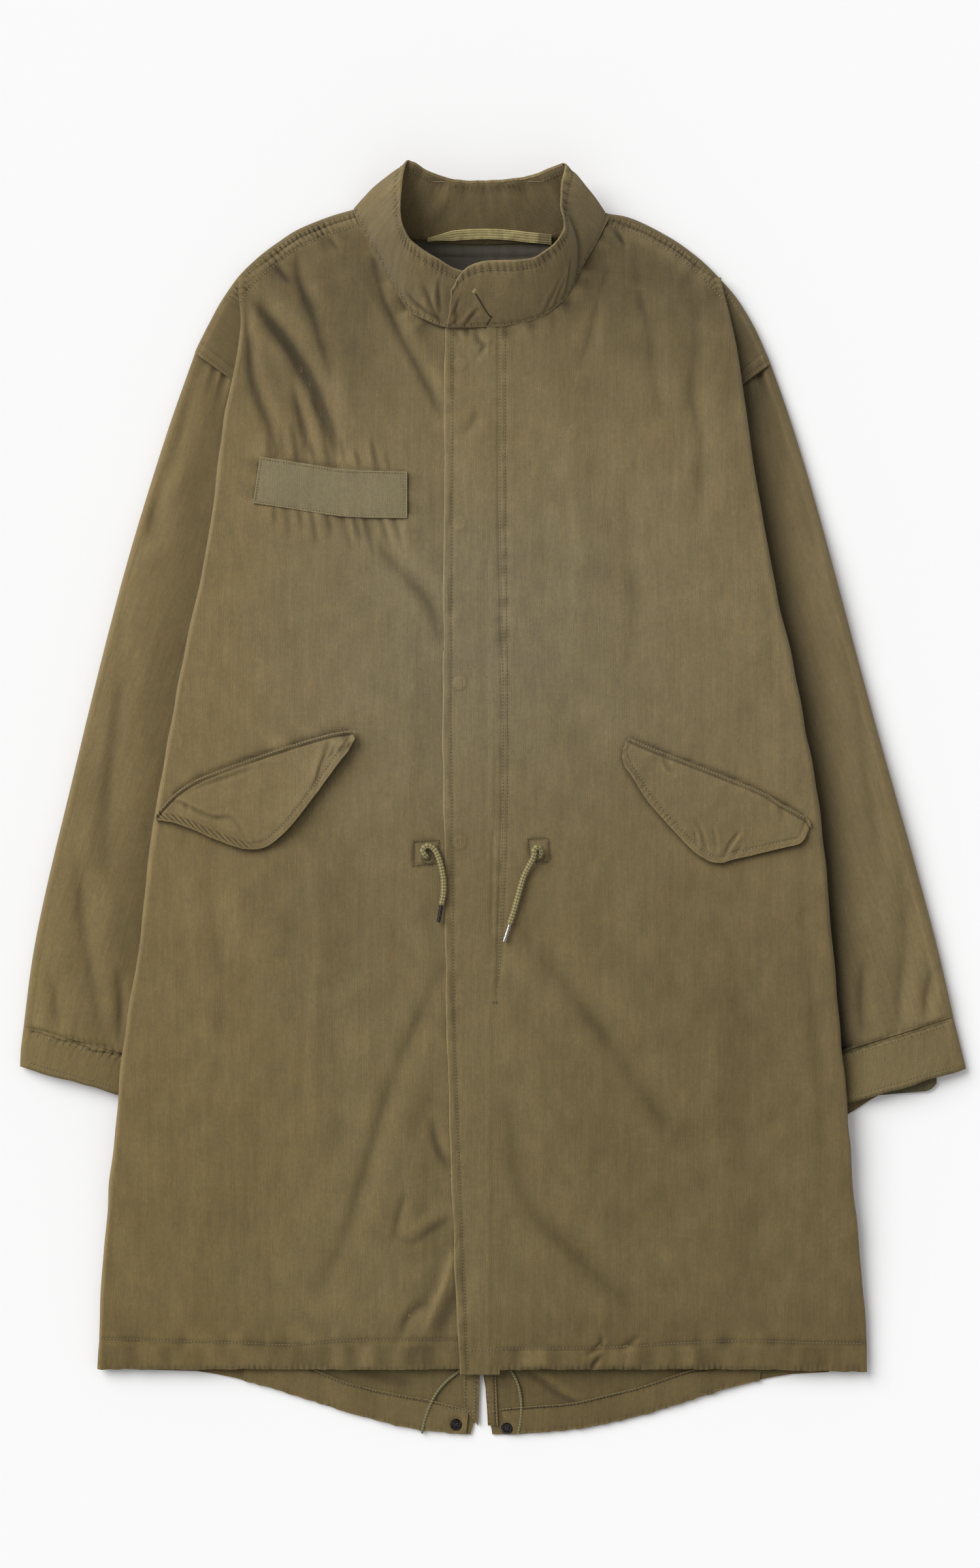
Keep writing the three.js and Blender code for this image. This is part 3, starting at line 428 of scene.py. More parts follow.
class Shader:
    """A material's node tree, with short ways to add nodes."""

    def __init__(self, name, roughness, sheen=0.0, metallic=0.0):
        self.material = bpy.data.materials.new(name)
        self.material.use_nodes = True
        self.tree = self.material.node_tree
        self.surface = self.tree.nodes["Principled BSDF"]
        self.surface.inputs["Roughness"].default_value = roughness
        self.surface.inputs["Metallic"].default_value = metallic
        self.surface.inputs["Specular IOR Level"].default_value = 0.5 if metallic else 0.22
        self.surface.inputs["Sheen Weight"].default_value = sheen
        self.surface.inputs["Sheen Roughness"].default_value = 0.5

    def node(self, kind, **settings):
        made = self.tree.nodes.new(kind)
        for key, value in settings.items():
            setattr(made, key, value)
        return made

    def link(self, source, target):
        self.tree.links.new(source, target)

    def put(self, value, socket):
        if isinstance(value, bpy.types.NodeSocket):
            self.link(value, socket)
        else:
            socket.default_value = value

    def math(self, operation, a, b=0.0):
        made = self.node("ShaderNodeMath", operation=operation)
        self.put(a, made.inputs[0])
        self.put(b, made.inputs[1])
        return made.outputs[0]

    def attribute(self, name):
        return self.node("ShaderNodeAttribute", attribute_name=name).outputs["Vector"]

    def scaled(self, vector, x, y, z=1.0):
        made = self.node("ShaderNodeMapping")
        self.link(vector, made.inputs["Vector"])
        made.inputs["Scale"].default_value = (x, y, z)
        return made.outputs[0]

    def noise(self, vector, detail=2.0, roughness=0.5):
        made = self.node("ShaderNodeTexNoise")
        self.link(vector, made.inputs["Vector"])
        made.inputs["Scale"].default_value = 1.0
        made.inputs["Detail"].default_value = detail
        made.inputs["Roughness"].default_value = roughness
        return made.outputs["Fac"]

    def wave(self, vector, axis):
        made = self.node("ShaderNodeTexWave", bands_direction=axis)
        self.link(vector, made.inputs["Vector"])
        made.inputs["Scale"].default_value = 1.0
        made.inputs["Distortion"].default_value = 0.6
        return made.outputs["Fac"]

    def between(self, factor, a, b, blend="MIX"):
        made = self.node("ShaderNodeMix", data_type="RGBA", blend_type=blend)
        self.put(factor, made.inputs["Factor"])
        self.put(a, made.inputs[6])
        self.put(b, made.inputs[7])
        return made.outputs[2]

    def stretch(self, value, low, high, to_low=0.0, to_high=1.0):
        made = self.node("ShaderNodeMapRange")
        self.put(value, made.inputs["Value"])
        for key, number in (("From Min", low), ("From Max", high), ("To Min", to_low), ("To Max", to_high)):
            made.inputs[key].default_value = number
        return made.outputs[0]

    def colour(self, socket):
        self.put(socket, self.surface.inputs["Base Color"])

    def bump(self, height, distance):
        made = self.node("ShaderNodeBump")
        made.inputs["Distance"].default_value = distance
        made.inputs["Strength"].default_value = 1.0
        self.link(height, made.inputs["Height"])
        self.link(made.outputs[0], self.surface.inputs["Normal"])


def woven(name, light, dark, streak, thread=0.9, slub=1.0, speckle=1.0, roughness=0.88, sheen=0.12):
    """Cloth in plain weave: crossing threads, slubs along the warp, specks and slow shifts of tone."""
    light, dark, streak = (srgb(*steps) for steps in (light, dark, streak))
    shader = Shader(name, roughness, sheen)
    grain = shader.attribute("grain")
    slubs = shader.noise(shader.scaled(grain, 1 / 1.1, 1 / 26), 3.0, 0.6)
    bands = shader.noise(shader.scaled(grain, 1 / 5, 1 / 170), 3.0, 0.55)
    blotches = shader.noise(shader.scaled(grain, 1 / 45, 1 / 60), 4.0, 0.55)
    specks = shader.noise(shader.scaled(grain, 1 / 0.8, 1 / 0.9), 3.0, 0.7)
    warp = shader.wave(shader.scaled(grain, 0.32 / thread, 0.32 / thread), "X")
    weft = shader.wave(shader.scaled(grain, 0.32 / thread, 0.32 / thread), "Y")
    weave = shader.math("MULTIPLY", warp, weft)
    tone = shader.math("ADD", *(shader.stretch(part, 0.3, 0.7, 0, 0.5) for part in (blotches, bands)))
    cloth = shader.between(tone, dark, light)
    cloth = shader.between(shader.stretch(slubs, 0.52, 0.78, 0, 0.55 * slub), cloth, streak)
    patches = shader.noise(shader.scaled(grain, 1 / 6.5, 1 / 11), 2.0, 0.6)
    grey = tuple(0.96 * c for c in (dark[0], dark[1] * 1.03, dark[2] * 1.25)) + (1,)
    cloth = shader.between(shader.stretch(patches, 0.42, 0.7, 0, 0.4 * speckle), cloth, grey)
    mottle = shader.noise(shader.scaled(grain, 1 / 2.6, 1 / 4.4), 2.0, 0.6)
    shading = shader.stretch(specks, 0.25, 0.75, 1 - 0.24 * speckle, 1 + 0.24 * speckle)
    for part, low, high, darkest, lightest in (
        (mottle, 0.3, 0.7, 1 - 0.07 * speckle, 1 + 0.07 * speckle),
        (slubs, 0.2, 0.5, 1 - 0.14 * slub, 1.0),
        (weave, 0, 1, 0.93, 1.1),
    ):
        shading = shader.math("MULTIPLY", shading, shader.stretch(part, low, high, darkest, lightest))
    even = shader.node("ShaderNodeCombineXYZ")
    for socket in even.inputs:
        shader.link(shading, socket)
    cloth = shader.between(1.0, cloth, even.outputs[0], "MULTIPLY")
    # The per-point tone attribute carries painted light and shade along with the cloth's own tone.
    cloth = shader.between(1.0, cloth, shader.attribute("dye"), "MULTIPLY")
    shader.colour(cloth)
    height = shader.math("ADD", weave, shader.math("MULTIPLY", specks, 0.8))
    height = shader.math("ADD", height, shader.math("MULTIPLY", slubs, 0.8))
    shader.bump(height, 0.00022)
    return shader.material


def metal(name, bright, dull, roughness):
    """Worn metal: darker and rougher in patches."""
    shader = Shader(name, roughness, metallic=1.0)
    place = shader.node("ShaderNodeTexCoord").outputs["Object"]
    patches = shader.noise(shader.scaled(place, 900, 900, 900), 4.0, 0.6)
    shader.colour(shader.between(shader.stretch(patches, 0.35, 0.65), dull, bright))
    rough = shader.stretch(patches, 0.3, 0.7, roughness + 0.12, roughness - 0.08)
    shader.link(rough, shader.surface.inputs["Roughness"])
    shader.bump(patches, 0.00004)
    return shader.material


def plain(name, colour, roughness):
    """A plain colour with a tone of its own for each point, which carries painted light and shade, for
    threads and braids.
    """
    shader = Shader(name, roughness, 0.1)
    specks = shader.noise(shader.scaled(shader.attribute("grain"), 1 / 0.5, 1 / 0.5), 2.0)
    darker = tuple(0.6 * c for c in colour[:3]) + (1,)
    tint = shader.between(shader.stretch(specks, 0.3, 0.7, 0, 0.5), colour, darker)
    shader.colour(shader.between(1.0, tint, shader.attribute("dye"), "MULTIPLY"))
    return shader.material


SHELL = woven("washed oxford cotton", (131, 117, 83), (118, 103, 70), (148, 121, 76))
LINING = woven("lining cotton", (85, 80, 69), (70, 66, 57), (85, 80, 68), thread=0.6, slub=0.4, speckle=0.5)
TAPE = woven("name tape twill", (137, 126, 95), (124, 113, 83), (141, 128, 92), thread=0.8, slub=0.5)
LOOP_TAPE = woven("loop tape", (212, 196, 139), (190, 174, 118), (218, 200, 141), thread=1.1, slub=0.3)
BRAID = plain("cotton braid", srgb(152, 141, 98), 0.9)
THIN_BRAID = plain("thin braid", srgb(128, 122, 88), 0.85)
THREAD = plain("sewing thread", srgb(126, 112, 80), 0.75)
DARK_METAL = metal("blackened metal", srgb(96, 91, 90), srgb(24, 22, 22), 0.15)
PALE_METAL = metal("bare steel", srgb(196, 192, 186), srgb(130, 126, 120), 0.34)


# ---- Camera, light and floor ----

def make_camera():
    data = bpy.data.cameras.new("camera")
    data.lens = 100
    data.sensor_width = 36
    camera = bpy.data.objects.new("camera", data)
    camera.location = (-0.0036, 0.0132, 3.745)
    bpy.context.scene.collection.objects.link(camera)
    bpy.context.scene.camera = camera


def make_key():
    """A distant soft light from the upper left, even over the whole floor."""
    data = bpy.data.lights.new("key", "SUN")
    data.energy = 3.0
    data.angle = np.radians(46)
    light = bpy.data.objects.new("key", data)
    light.rotation_euler = Vector((3.6, -2.9, -3.6)).to_track_quat("-Z", "Y").to_euler()
    bpy.context.scene.collection.objects.link(light)


def make_studio():
    world = bpy.data.worlds.new("studio")
    world.use_nodes = True
    background = world.node_tree.nodes["Background"]
    background.inputs["Color"].default_value = (1.0, 1.0, 1.0, 1)
    background.inputs["Strength"].default_value = 0.48
    bpy.context.scene.world = world
    make_key()
    bpy.context.scene.view_settings.view_transform = "Standard"
    shader = Shader("floor", 0.9)
    shader.colour(srgb(243, 243, 243))
    half = 6.0
    mesh = bpy.data.meshes.new("floor")
    corners = [(-half, -half, 0), (half, -half, 0), (half, half, 0), (-half, half, 0)]
    mesh.from_pydata(corners, [], [(0, 1, 2, 3)])
    mesh.materials.append(shader.material)
    floor = bpy.data.objects.new("floor", mesh)
    floor.location.z = -0.0003
    bpy.context.scene.collection.objects.link(floor)


# ---- The body's shape, from the CAD fronts ----

class Half:
    """One half of the coat's body, measured on its CAD front. Distances are from the centre line."""

    def __init__(self, name, sign):
        self.name = name
        self.sign = sign
        self.node = f"front_{name}"
        levels = np.arange(HEM + 0.5, SHOULDER, 3.0)
        cuts = [cut_at_y(self.node, y) for y in levels]
        self.levels = levels
        self.edges = smooth(np.array([(sign * cut[:, 0]).max() for cut in cuts]), 2)
        low_parts = [cut[(cut[:, 2] < UNDER_TOP) & (sign * cut[:, 0] > CLEAR_OF_FLY)] for cut in cuts]
        self.seams = np.array([(sign * cut[:, 0]).min() for cut in low_parts])
        self.seam_heights = np.array([
            cut[sign * cut[:, 0] < max(seam, (sign * cut[:, 0]).min()) + 1, 2].min()
            for cut, seam in zip(low_parts, self.seams)
        ])
        self.unders = smooth(probe(self.node, sign * (self.edges - FOLD_REACH), levels, above=False), 4)
        open_part = levels < PROBED_TO
        above = np.arange(levels[open_part][-1] + 3, SHOULDER, 3.0)
        roll_off = ease((above - above[0] + 3) / (SHOULDER - above[0]))
        self.open_levels = np.append(levels[open_part], above)
        middles = probe(self.node, np.full(levels.size, sign * MIDDLE_LINE), levels)[open_part]
        sides = probe(self.node, sign * (self.edges - FOLD_REACH - 1), levels)[open_part]
        self.middles = smooth(np.append(middles, np.median(middles[-6:]) - 5 * roll_off), 6)
        self.sides = smooth(np.append(sides, np.median(sides[-6:]) - 6 * roll_off), 6)
        self.centre = (sign * SURFACES[self.node][0][:, 0]).min()
        self.outermost = self.edges[-1] - FOLD_REACH
        self.reaches = np.arange(self.centre + 0.5, self.outermost, 1.5)
        tops = [cut_at_x(self.node, sign * d) for d in self.reaches]
        self.tops = np.array([cut[:, 1].max() for cut in tops])
        top_heights = [cut[cut[:, 1] > top - 1.2, 2].max() for cut, top in zip(tops, self.tops)]
        self.top_heights = smooth(np.array(top_heights), 2)

    def edge(self, y):
        return np.interp(y, self.levels, self.edges)

    def top(self, distance):
        return np.interp(distance, self.reaches, self.tops)

    def height(self, x, y):
        """Height of the closed front: highest at the middle, rolling down to the shoulder seam."""
        distance = np.abs(x)
        share = np.clip(distance / (self.edge(y) - FOLD_REACH), 0, 1)
        middle = np.interp(y, self.open_levels, self.middles)
        side = np.interp(y, self.open_levels, self.sides)
        flat = lerp(middle, side, share**2.5)
        low = np.interp(distance, self.reaches, self.top_heights)
        return low + (flat - low) * np.sqrt(np.clip((self.top(distance) - y) / ROLL_LENGTH, 0, 1))


RIGHT = Half("right", -1)
LEFT = Half("left", 1)


def front_height(x, y):
    return np.where(np.asarray(x) < 0, RIGHT.height(x, y), LEFT.height(x, y))


def dip_under_fly(x):
    return np.where(np.asarray(x) < 0, FLY_DIP * ease((80 + np.asarray(x)) / 34), 0)


# Creases of the closed front: width, depth, and points from the upper end.
CREASES = [
    (5.0, 1.4, [(-215, 439), (-213, 412), (-210, 386), (-207, 359), (-201, 340), (-192, 318), (-185, 295)]),
    (8.5, 2.0, [(-212, 434), (-192, 408), (-174, 384), (-159, 358), (-145, 331), (-136, 304)]),
    (5.0, 1.2, [(-174, 360), (-169, 340), (-163, 316), (-159, 296)]),
    (8.0, 0.9, [(-107, 236), (-95, 212), (-74, 188), (-55, 166), (-46, 138)]),
    (6.5, 1.5, [(-170, 466), (-167, 442), (-156, 415), (-146, 382), (-140, 358)]),
    (3.2, 1.0, [(-189, 459), (-182, 450), (-175, 442)]),
    (4.2, 1.0, [(-156, 340), (-143, 319), (-134, 292)]),
    (6.0, 1.8, [(-103, 461), (-95, 429), (-86, 409), (-74, 384), (-61, 360), (-52, 342), (-46, 328)]),
    (2.2, 0.6, [(-142, 481), (-138, 476), (-134, 470)]),
    (9.0, 0.8, [(-45, -144), (-64, -185), (-82, -226), (-93, -256), (-112, -320), (-131, -379),
        (-150, -420)]),
    (3.6, 0.7, [(-77, -339), (-82, -356), (-85, -372)]),
    (4.6, 0.8, [(-85, -375), (-71, -379), (-56, -370), (-40, -360)]),
    (4.0, 0.8, [(-54, -277), (-49, -297), (-41, -314)]),
    (6.0, -1.3, [(-35, -390), (-40, -412), (-48, -432), (-59, -456)]),
    (4.6, 1.0, [(-60, -431), (-69, -437), (-76, -446), (-80, -459)]),
    (11.0, 0.5, [(-236, -30), (-242, -90), (-232, -160), (-238, -240)]),
    (12.0, -0.5, [(-160, -40), (-150, -120), (-158, -220), (-148, -320)]),
    (6.0, 0.8, [(96, 452), (88, 424), (82, 396), (74, 372)]),
    (8.0, 0.6, [(120, 470), (122, 440), (131, 404), (134, 372), (142, 330)]),
    (2.2, 0.9, [(102, 490), (107, 482), (111, 475)]),
    (9.0, 0.8, [(168, 440), (172, 400), (168, 350), (176, 300), (174, 240)]),
    (4.5, 0.7, [(212, 428), (216, 404), (221, 380)]),
    (12.0, -0.6, [(70, 340), (64, 280), (72, 210), (66, 140)]),
    (13.0, 0.5, [(118, 300), (112, 230), (120, 160), (113, 96)]),
    (12.0, 0.5, [(216, 300), (222, 230), (232, 160), (236, 90)]),
    (14.0, 0.7, [(33, -125), (60, -160), (89, -197), (122, -245), (155, -292)]),
    (14.0, 0.7, [(10, -240), (24, -338), (70, -392), (120, -436)]),
    (14.0, -0.5, [(180, -70), (190, -160), (186, -260), (196, -380)]),
    (11.0, 0.5, [(262, -40), (268, -140), (276, -240), (280, -330)]),
    (2.2, 0.7, [(92, -461), (90, -469), (80, -475)]),
    (2.2, 0.7, [(91, -477), (86, -483), (83, -488)]),
    (2.6, 0.45, [(124, -459), (116, -466), (108, -471)]),
]

# Short puckers round the name tape, as the creases above.
PUCKERS = [
    (2.4, 0.9, [(px, 291 - 0.1 * (px + 200)), (px + lean, 291 - 0.1 * (px + 200) + rise)])
    for px, lean, rise in (
        (-190, -2, 16), (-178, -4, 26), (-167, -5, 30), (-152, -5, 18), (-140, -7, 34), (-126, -5, 22),
        (-113, -5, 15), (-99, -5, 24), (-88, -4, 14),
    )
]
PUCKERS += [
    (2.6, 0.9, [(px, 252 - 0.09 * (px + 190)), (px + lean, 252 - 0.09 * (px + 190) - fall)])
    for px, lean, fall in (
        (-188, 2, 18), (-177, 3, 26), (-167, 4, 20), (-156, 5, 30), (-144, 6, 22), (-130, 8, 34),
        (-121, 7, 24), (-112, 10, 36), (-98, 9, 28), (-86, 9, 32),
    )
]


def drape(x, y, tones=False):
    """Waves and creases of the closed front, which pieces on it follow; or these and their tones."""
    field = np.zeros((2, *np.shape(x)))
    field[0] = 1.1 * noise(x, y, 60, 130, 11) + 0.42 * noise(x + 0.2 * y, y, 24, 60, 12)
    field[0] += 0.17 * noise(x, y, 11, 17, 13)
    for width, depth, points in CREASES:
        crease(field, x, y, width, depth, points)
    for width, depth, points in PUCKERS:
        crease(field, x, y, width, 0.6 * depth, points)
    return field if tones else field[0]


def wear_and_hollow_shade(height, radius=5, strength=0.26):
    """Lighter worn ridges, and painted shade in the troughs, from a grid of heights."""
    raised = height - blurred(height, radius)
    return np.clip(raised * strength, -0.32, 0.24)


def dyed_and_shaded(x, y, lightness=0.0):
    """The shell's colour at each place: greyer over the chest, yellower at the right, darker low down; with
    painted light and shade.
    """
    x, y, lightness = np.broadcast_arrays(np.asarray(x, float), np.asarray(y, float), lightness)
    edge = np.where(x < 0, RIGHT.edge(y), LEFT.edge(y))
    body = ease((edge + 8 - np.abs(x)) / 8)
    low = ease((120 - y) / 500)
    left = ease((x + 30) / 120)
    fall = body * (0.02 + 0.1 * left) * ease((100 - y) / 220) + body * 0.1 * ease((-430 - y) / 50)
    chest = bell(x + 5, 150) * ease((y + 90) / 220) * ease((330 - y) / 150)
    side = ease((-x - 90) / 180)
    # Painted shade where the fronts roll down over the shoulders.
    top = ease((y - 300) / 160)
    # Painted shade in soft patches: the right chest, the left shoulder, the lower right front and beside the
    # right waist cord.
    shade = 0.17 * np.exp(-(((x + 165) / 70) ** 2) - ((y - 355) / 55) ** 2)
    shade = shade + 0.06 * np.exp(-(((x - 140) / 60) ** 2) - ((y - 465) / 45) ** 2)
    shade = shade + 0.06 * np.exp(-(((x + 150) / 70) ** 2) - ((y + 130) / 90) ** 2)
    shade = shade + 0.08 * body * np.exp(-(((x + 30) / 24) ** 2) - ((y + 50) / 70) ** 2)
    tone = 1 + lightness - shade - 0.12 * low - fall + 0.045 * chest - 0.33 * top
    tone = tone + 0.025 * noise(x, y, 90, 120, 31)
    red = tone * (1.0 + 0.04 * side - 0.045 * chest)
    green = tone * (0.985 + 0.01 * side + 0.02 * chest - 0.2 * fall)
    blue = tone * (0.96 - 0.06 * side + 0.19 * chest - 0.08 * low - 0.5 * fall)
    return np.stack([red, green, blue], -1)


def grain_of(grid, across=None):
    """Places along the weave: by default the plan, moved on for heights so that folds don't stretch it."""
    x = grid[:, :, 0] if across is None else across
    return np.stack([x, grid[:, :, 1] + 0.6 * grid[:, :, 2], 0 * x], -1)


# ---- Cords ----

WAIST_CORD = 5.0
HEM_CORD = 2.4

# Routes of the cords' free ends. Columns: x, y, and height above the cloth that they lie on.
WAIST_CORDS = {
    "right": [
        (-56.9, -49.4, -0.5), (-57.8, -48.4, 2.6), (-59.6, -46.6, 3.8), (-60.8, -42.6, 3.8),
        (-57.6, -39.8, 3.8), (-53.2, -40.6, 4), (-49.4, -44.8, 4.8), (-46.4, -52.4, 5.6), (-43.9, -62.4, 6),
        (-42.8, -72.4, 6), (-43.2, -81.2, 6), (-44.8, -89.6, 5.8),
    ],
    "left": [
        (37.4, -48.6, -0.5), (38.9, -47.8, 2.4), (39.9, -45.2, 3.6), (39, -42, 4.8), (36.4, -40.8, 5.8),
        (34.3, -43, 6.2), (34.2, -47, 5.8), (32.6, -51.6, 4.8), (29.6, -57, 3.8), (25.8, -64.6, 3),
        (22.6, -74.6, 3), (19.6, -85.4, 3), (16.6, -96, 3), (13.2, -106.4, 3),
    ],
}
HEM_CORDS = {
    "right": [
        (-17, -480, 1.6), (-24, -486.5, 1.6), (-32.5, -493, 1.8), (-41.3, -500.3, 2), (-48.4, -508.4, 1.8),
        (-53.6, -517.4, 1.6), (-57.6, -527, 1.6), (-60.4, -536, 1.6), (-62, -544.5, 1.6),
    ],
    "left": [
        (1.5, -480, 1.6), (8.5, -485, 1.6), (14.6, -491.4, 1.8), (19, -499, 2), (21.8, -508, 1.8),
        (23.2, -517.6, 1.6), (23.2, -527, 1.6), (22.3, -536.4, 1.6), (20.6, -545, 1.6),
    ],
}


def braid(name, path, diameter, material, strands, lay, **made_as):
    """A round braid along a path: crossing strands stand proud of its surface."""
    line = curve(path, 0.4)
    along = unit(np.gradient(line, axis=0))
    side = unit(np.cross(along, (0, 0, 1.0)))
    above = np.cross(side, along)
    run = runs(line)[:, None]
    count = 6 * strands
    turn = (2 * np.pi * np.arange(count) / count)[None, :]
    twist = 2 * np.pi * run / lay
    raised = np.cos(strands * turn / 2 + twist) * np.cos(strands * turn / 2 - twist)
    radius = diameter / 2 * (0.94 + 0.1 * raised + 0.02 * noise(run * 3, turn, 5, 1, 211))
    ring = np.cos(turn)[:, :, None] * side[:, None] + np.sin(turn)[:, :, None] * above[:, None]
    points = (line[:, None] + radius[:, :, None] * ring).reshape(-1, 3)
    points = np.vstack([points, line[0] - 0.4 * along[0], line[-1] + 0.4 * along[-1]])
    rings = len(line)
    i, j = np.meshgrid(np.arange(rings - 1), np.arange(count), indexing="ij")
    after = (j + 1) % count
    faces = np.stack([i * count + j, i * count + after, (i + 1) * count + after, (i + 1) * count + j], -1)
    faces = faces.reshape(-1, 4)[:, ::-1].tolist()
    start = rings * count
    last = (rings - 1) * count
    for k in range(count):
        faces.append([(k + 1) % count, k, start][::-1])
        faces.append([last + k, last + (k + 1) % count, start + 1][::-1])
    # Painted highlight on the raised strands and painted shade in the gaps between them.
    tone = (0.8 + 0.56 * raised).reshape(-1, 1)
    dye = np.vstack([np.repeat(tone, 3, 1), np.full((2, 3), 0.7)])
    places = np.stack([run + 0 * turn, 2 * turn + 0 * run, 0 * raised], -1).reshape(-1, 3)
    grain = np.vstack([places, np.zeros((2, 3))])
    return add_mesh(name, points, faces, material, {"dye": dye, "grain": grain}, sharp=70, **made_as)


def cord(kind, half, path, diameter, material, lay, **ending):
    """A limp cord's free end: its braid."""
    node = f"{kind}_cord_{half.name}"
    braided = f"{kind}_cord_braid_{half.name}"
    piece = braid(braided, path, diameter, material, 6, lay, node=node, slot=f"{kind}_braid")


def finish_metal(node, material):
    """Gives a CAD piece of metal its finished material."""
    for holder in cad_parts[node].material_slots:
        holder.link = "OBJECT"
        holder.material = material


def waist_cord(half):
    path = []
    for x, y, lift in WAIST_CORDS[half.name]:
        cloth = half.height(x, y) - dip_under_fly(x) + (0.6 * drape(x, y) if lift > 0 else 0)
        path.append((x, y, float(cloth + lift)))
    tip = f"waist_aglet_{half.name}"
    cord("waist", half, path, WAIST_CORD, BRAID, 5.4, far_end="fitting", with_pieces=[tip])


def hem_cord(half):
    path = [(x, y, CLOTH + lift) for x, y, lift in HEM_CORDS[half.name]]
    cord("hem", half, path, HEM_CORD, THIN_BRAID, 5.0, far_end="bare")


make_camera()
for half in (RIGHT, LEFT):
    waist_cord(half)
    hem_cord(half)
make_studio()
for node in ("waist_aglet_right", "snap_right", "snap_left"):
    finish_metal(node, DARK_METAL)
finish_metal("waist_aglet_left", PALE_METAL)


# ---- Where the back wraps over the shoulders ----

# Each wrap is laid out on rays from a point that both its ends face.
WRAP_PIVOTS = {"right": (-48.3, 232.8), "left": (29.2, 223.7)}
WRAP_ENDS = {"right": ((-119, 507), (-255.3, 388)), "left": ((101, 502.5), (235.7, 378.6))}
ROLL = 6
WRAP_TOP = 8.5
WRAP_LENGTH = 190  # by which runs along a wrap are measured, for its gathers
NECK_LAP = -0.02  # the wraps start under the collar, and run on over the sleeves: shares of their length
SLEEVE_LAP = 1.03


def wrap_rays(name, shares):
    """Directions and outer and inner radii of a wrap, at shares of its length, from its CAD section."""
    pivot = np.array(WRAP_PIVOTS[name])
    first, last = (np.arctan2(*(np.array(end) - pivot)[::-1]) for end in WRAP_ENDS[name])
    measured = np.linspace(0.004, 0.99, 60)
    radii = []
    for turn in lerp(first, last, measured):
        ray = np.array([np.cos(turn), np.sin(turn)])
        cut = section("back", (*pivot, 0), (-ray[1], ray[0], 0))
        radius = (cut[:, :2] - pivot) @ ray
        radii.append((radius.max(), radius[(cut[:, 2] > 7.5) & (radius > 120)].min()))
    sides = []
    for column in np.array(radii).T:
        column = smooth(column, 2)
        before = (column[4] - column[0]) / (measured[4] - measured[0])
        after = (column[-1] - column[-5]) / (measured[-1] - measured[-5])
        side = np.interp(shares, measured, column)
        side += before * np.minimum(shares - measured[0], 0) + after * np.maximum(shares - measured[-1], 0)
        sides.append(side[:, None])
    return lerp(first, last, shares)[:, None], sides[0], sides[1]


def wrap_table(name):
    """The rays of a wrap as rows of numbers, for places that aren't on its own grid."""
    shares = np.linspace(-0.06, 1.06, 120)
    turns, outer, inner = wrap_rays(name, shares)
    first, last = np.interp((0, 1), shares, turns.ravel())
    return {
        "pivot": WRAP_PIVOTS[name], "first": first, "last": last, "shares": shares,
        "outer": outer.ravel(), "inner": inner.ravel(),
    }


WRAP_TABLES = {name: wrap_table(name) for name in WRAP_PIVOTS}


# ---- Fronts ----

def outline_of_flap(half):
    """The sewn edge, the free edge and the plan directions of a pocket flap."""
    origin = np.array([half.sign * FLAP_PLACES[half.name][0], FLAP_PLACES[half.name][1]])
    along = np.array([half.sign * FLAP_PLACES[half.name][2], FLAP_PLACES[half.name][3]])
    down = np.array([half.sign * along[1], -half.sign * along[0]])
    return origin, along, down


FLAP_PLACES = {"right": (121, 60, 0.934, -0.358), "left": (115, 54.5, 0.9125, -0.409)}
# Flap edges, as depths at distances along each flap's line.
FLAP_SEWN = {
    "right": [
        (0, 0.6), (20, -3.6), (52, -6.4), (97, -8.5), (119, -8.7), (141, -8), (161, -3.3), (178, 5),
        (184, 9),
    ],
    "left": [
        (0, 1.2), (26, 0.7), (60, -1.2), (108, -3.6), (129, -3.3), (142, -1.1), (155, 0), (168, 1.6),
        (173, 5),
    ],
}
FLAP_FREE = {
    "right": [
        (0, 8), (4, 11.5), (9, 15.6), (23, 24.2), (47, 39.6), (74, 56.2), (90, 63.6), (104, 67.4), (117, 65),
        (128, 58.5), (144, 44.5), (157, 31.5), (170, 20.5), (180, 14.5), (184, 12.5),
    ],
    "left": [
        (0, 12), (2, 18.5), (8, 25), (20, 33.4), (36, 43.8), (49, 50.2), (63, 56.4), (78, 62.8), (91, 67.8),
        (100, 69.3), (108, 69.6), (117, 66.4), (123, 61), (134, 52.9), (148, 42), (161, 32), (170, 25),
        (173, 18),
    ],
}
FLAP_LENGTHS = {name: points[-1][0] for name, points in FLAP_FREE.items()}


def on_edge(points, along):
    line = curve(points, 2)
    return np.interp(along, line[:, 0], line[:, 1])


def flap_top(half, along):
    return on_edge(FLAP_SEWN[half.name], along)


def flap_low(half, along):
    return on_edge(FLAP_FREE[half.name], along)


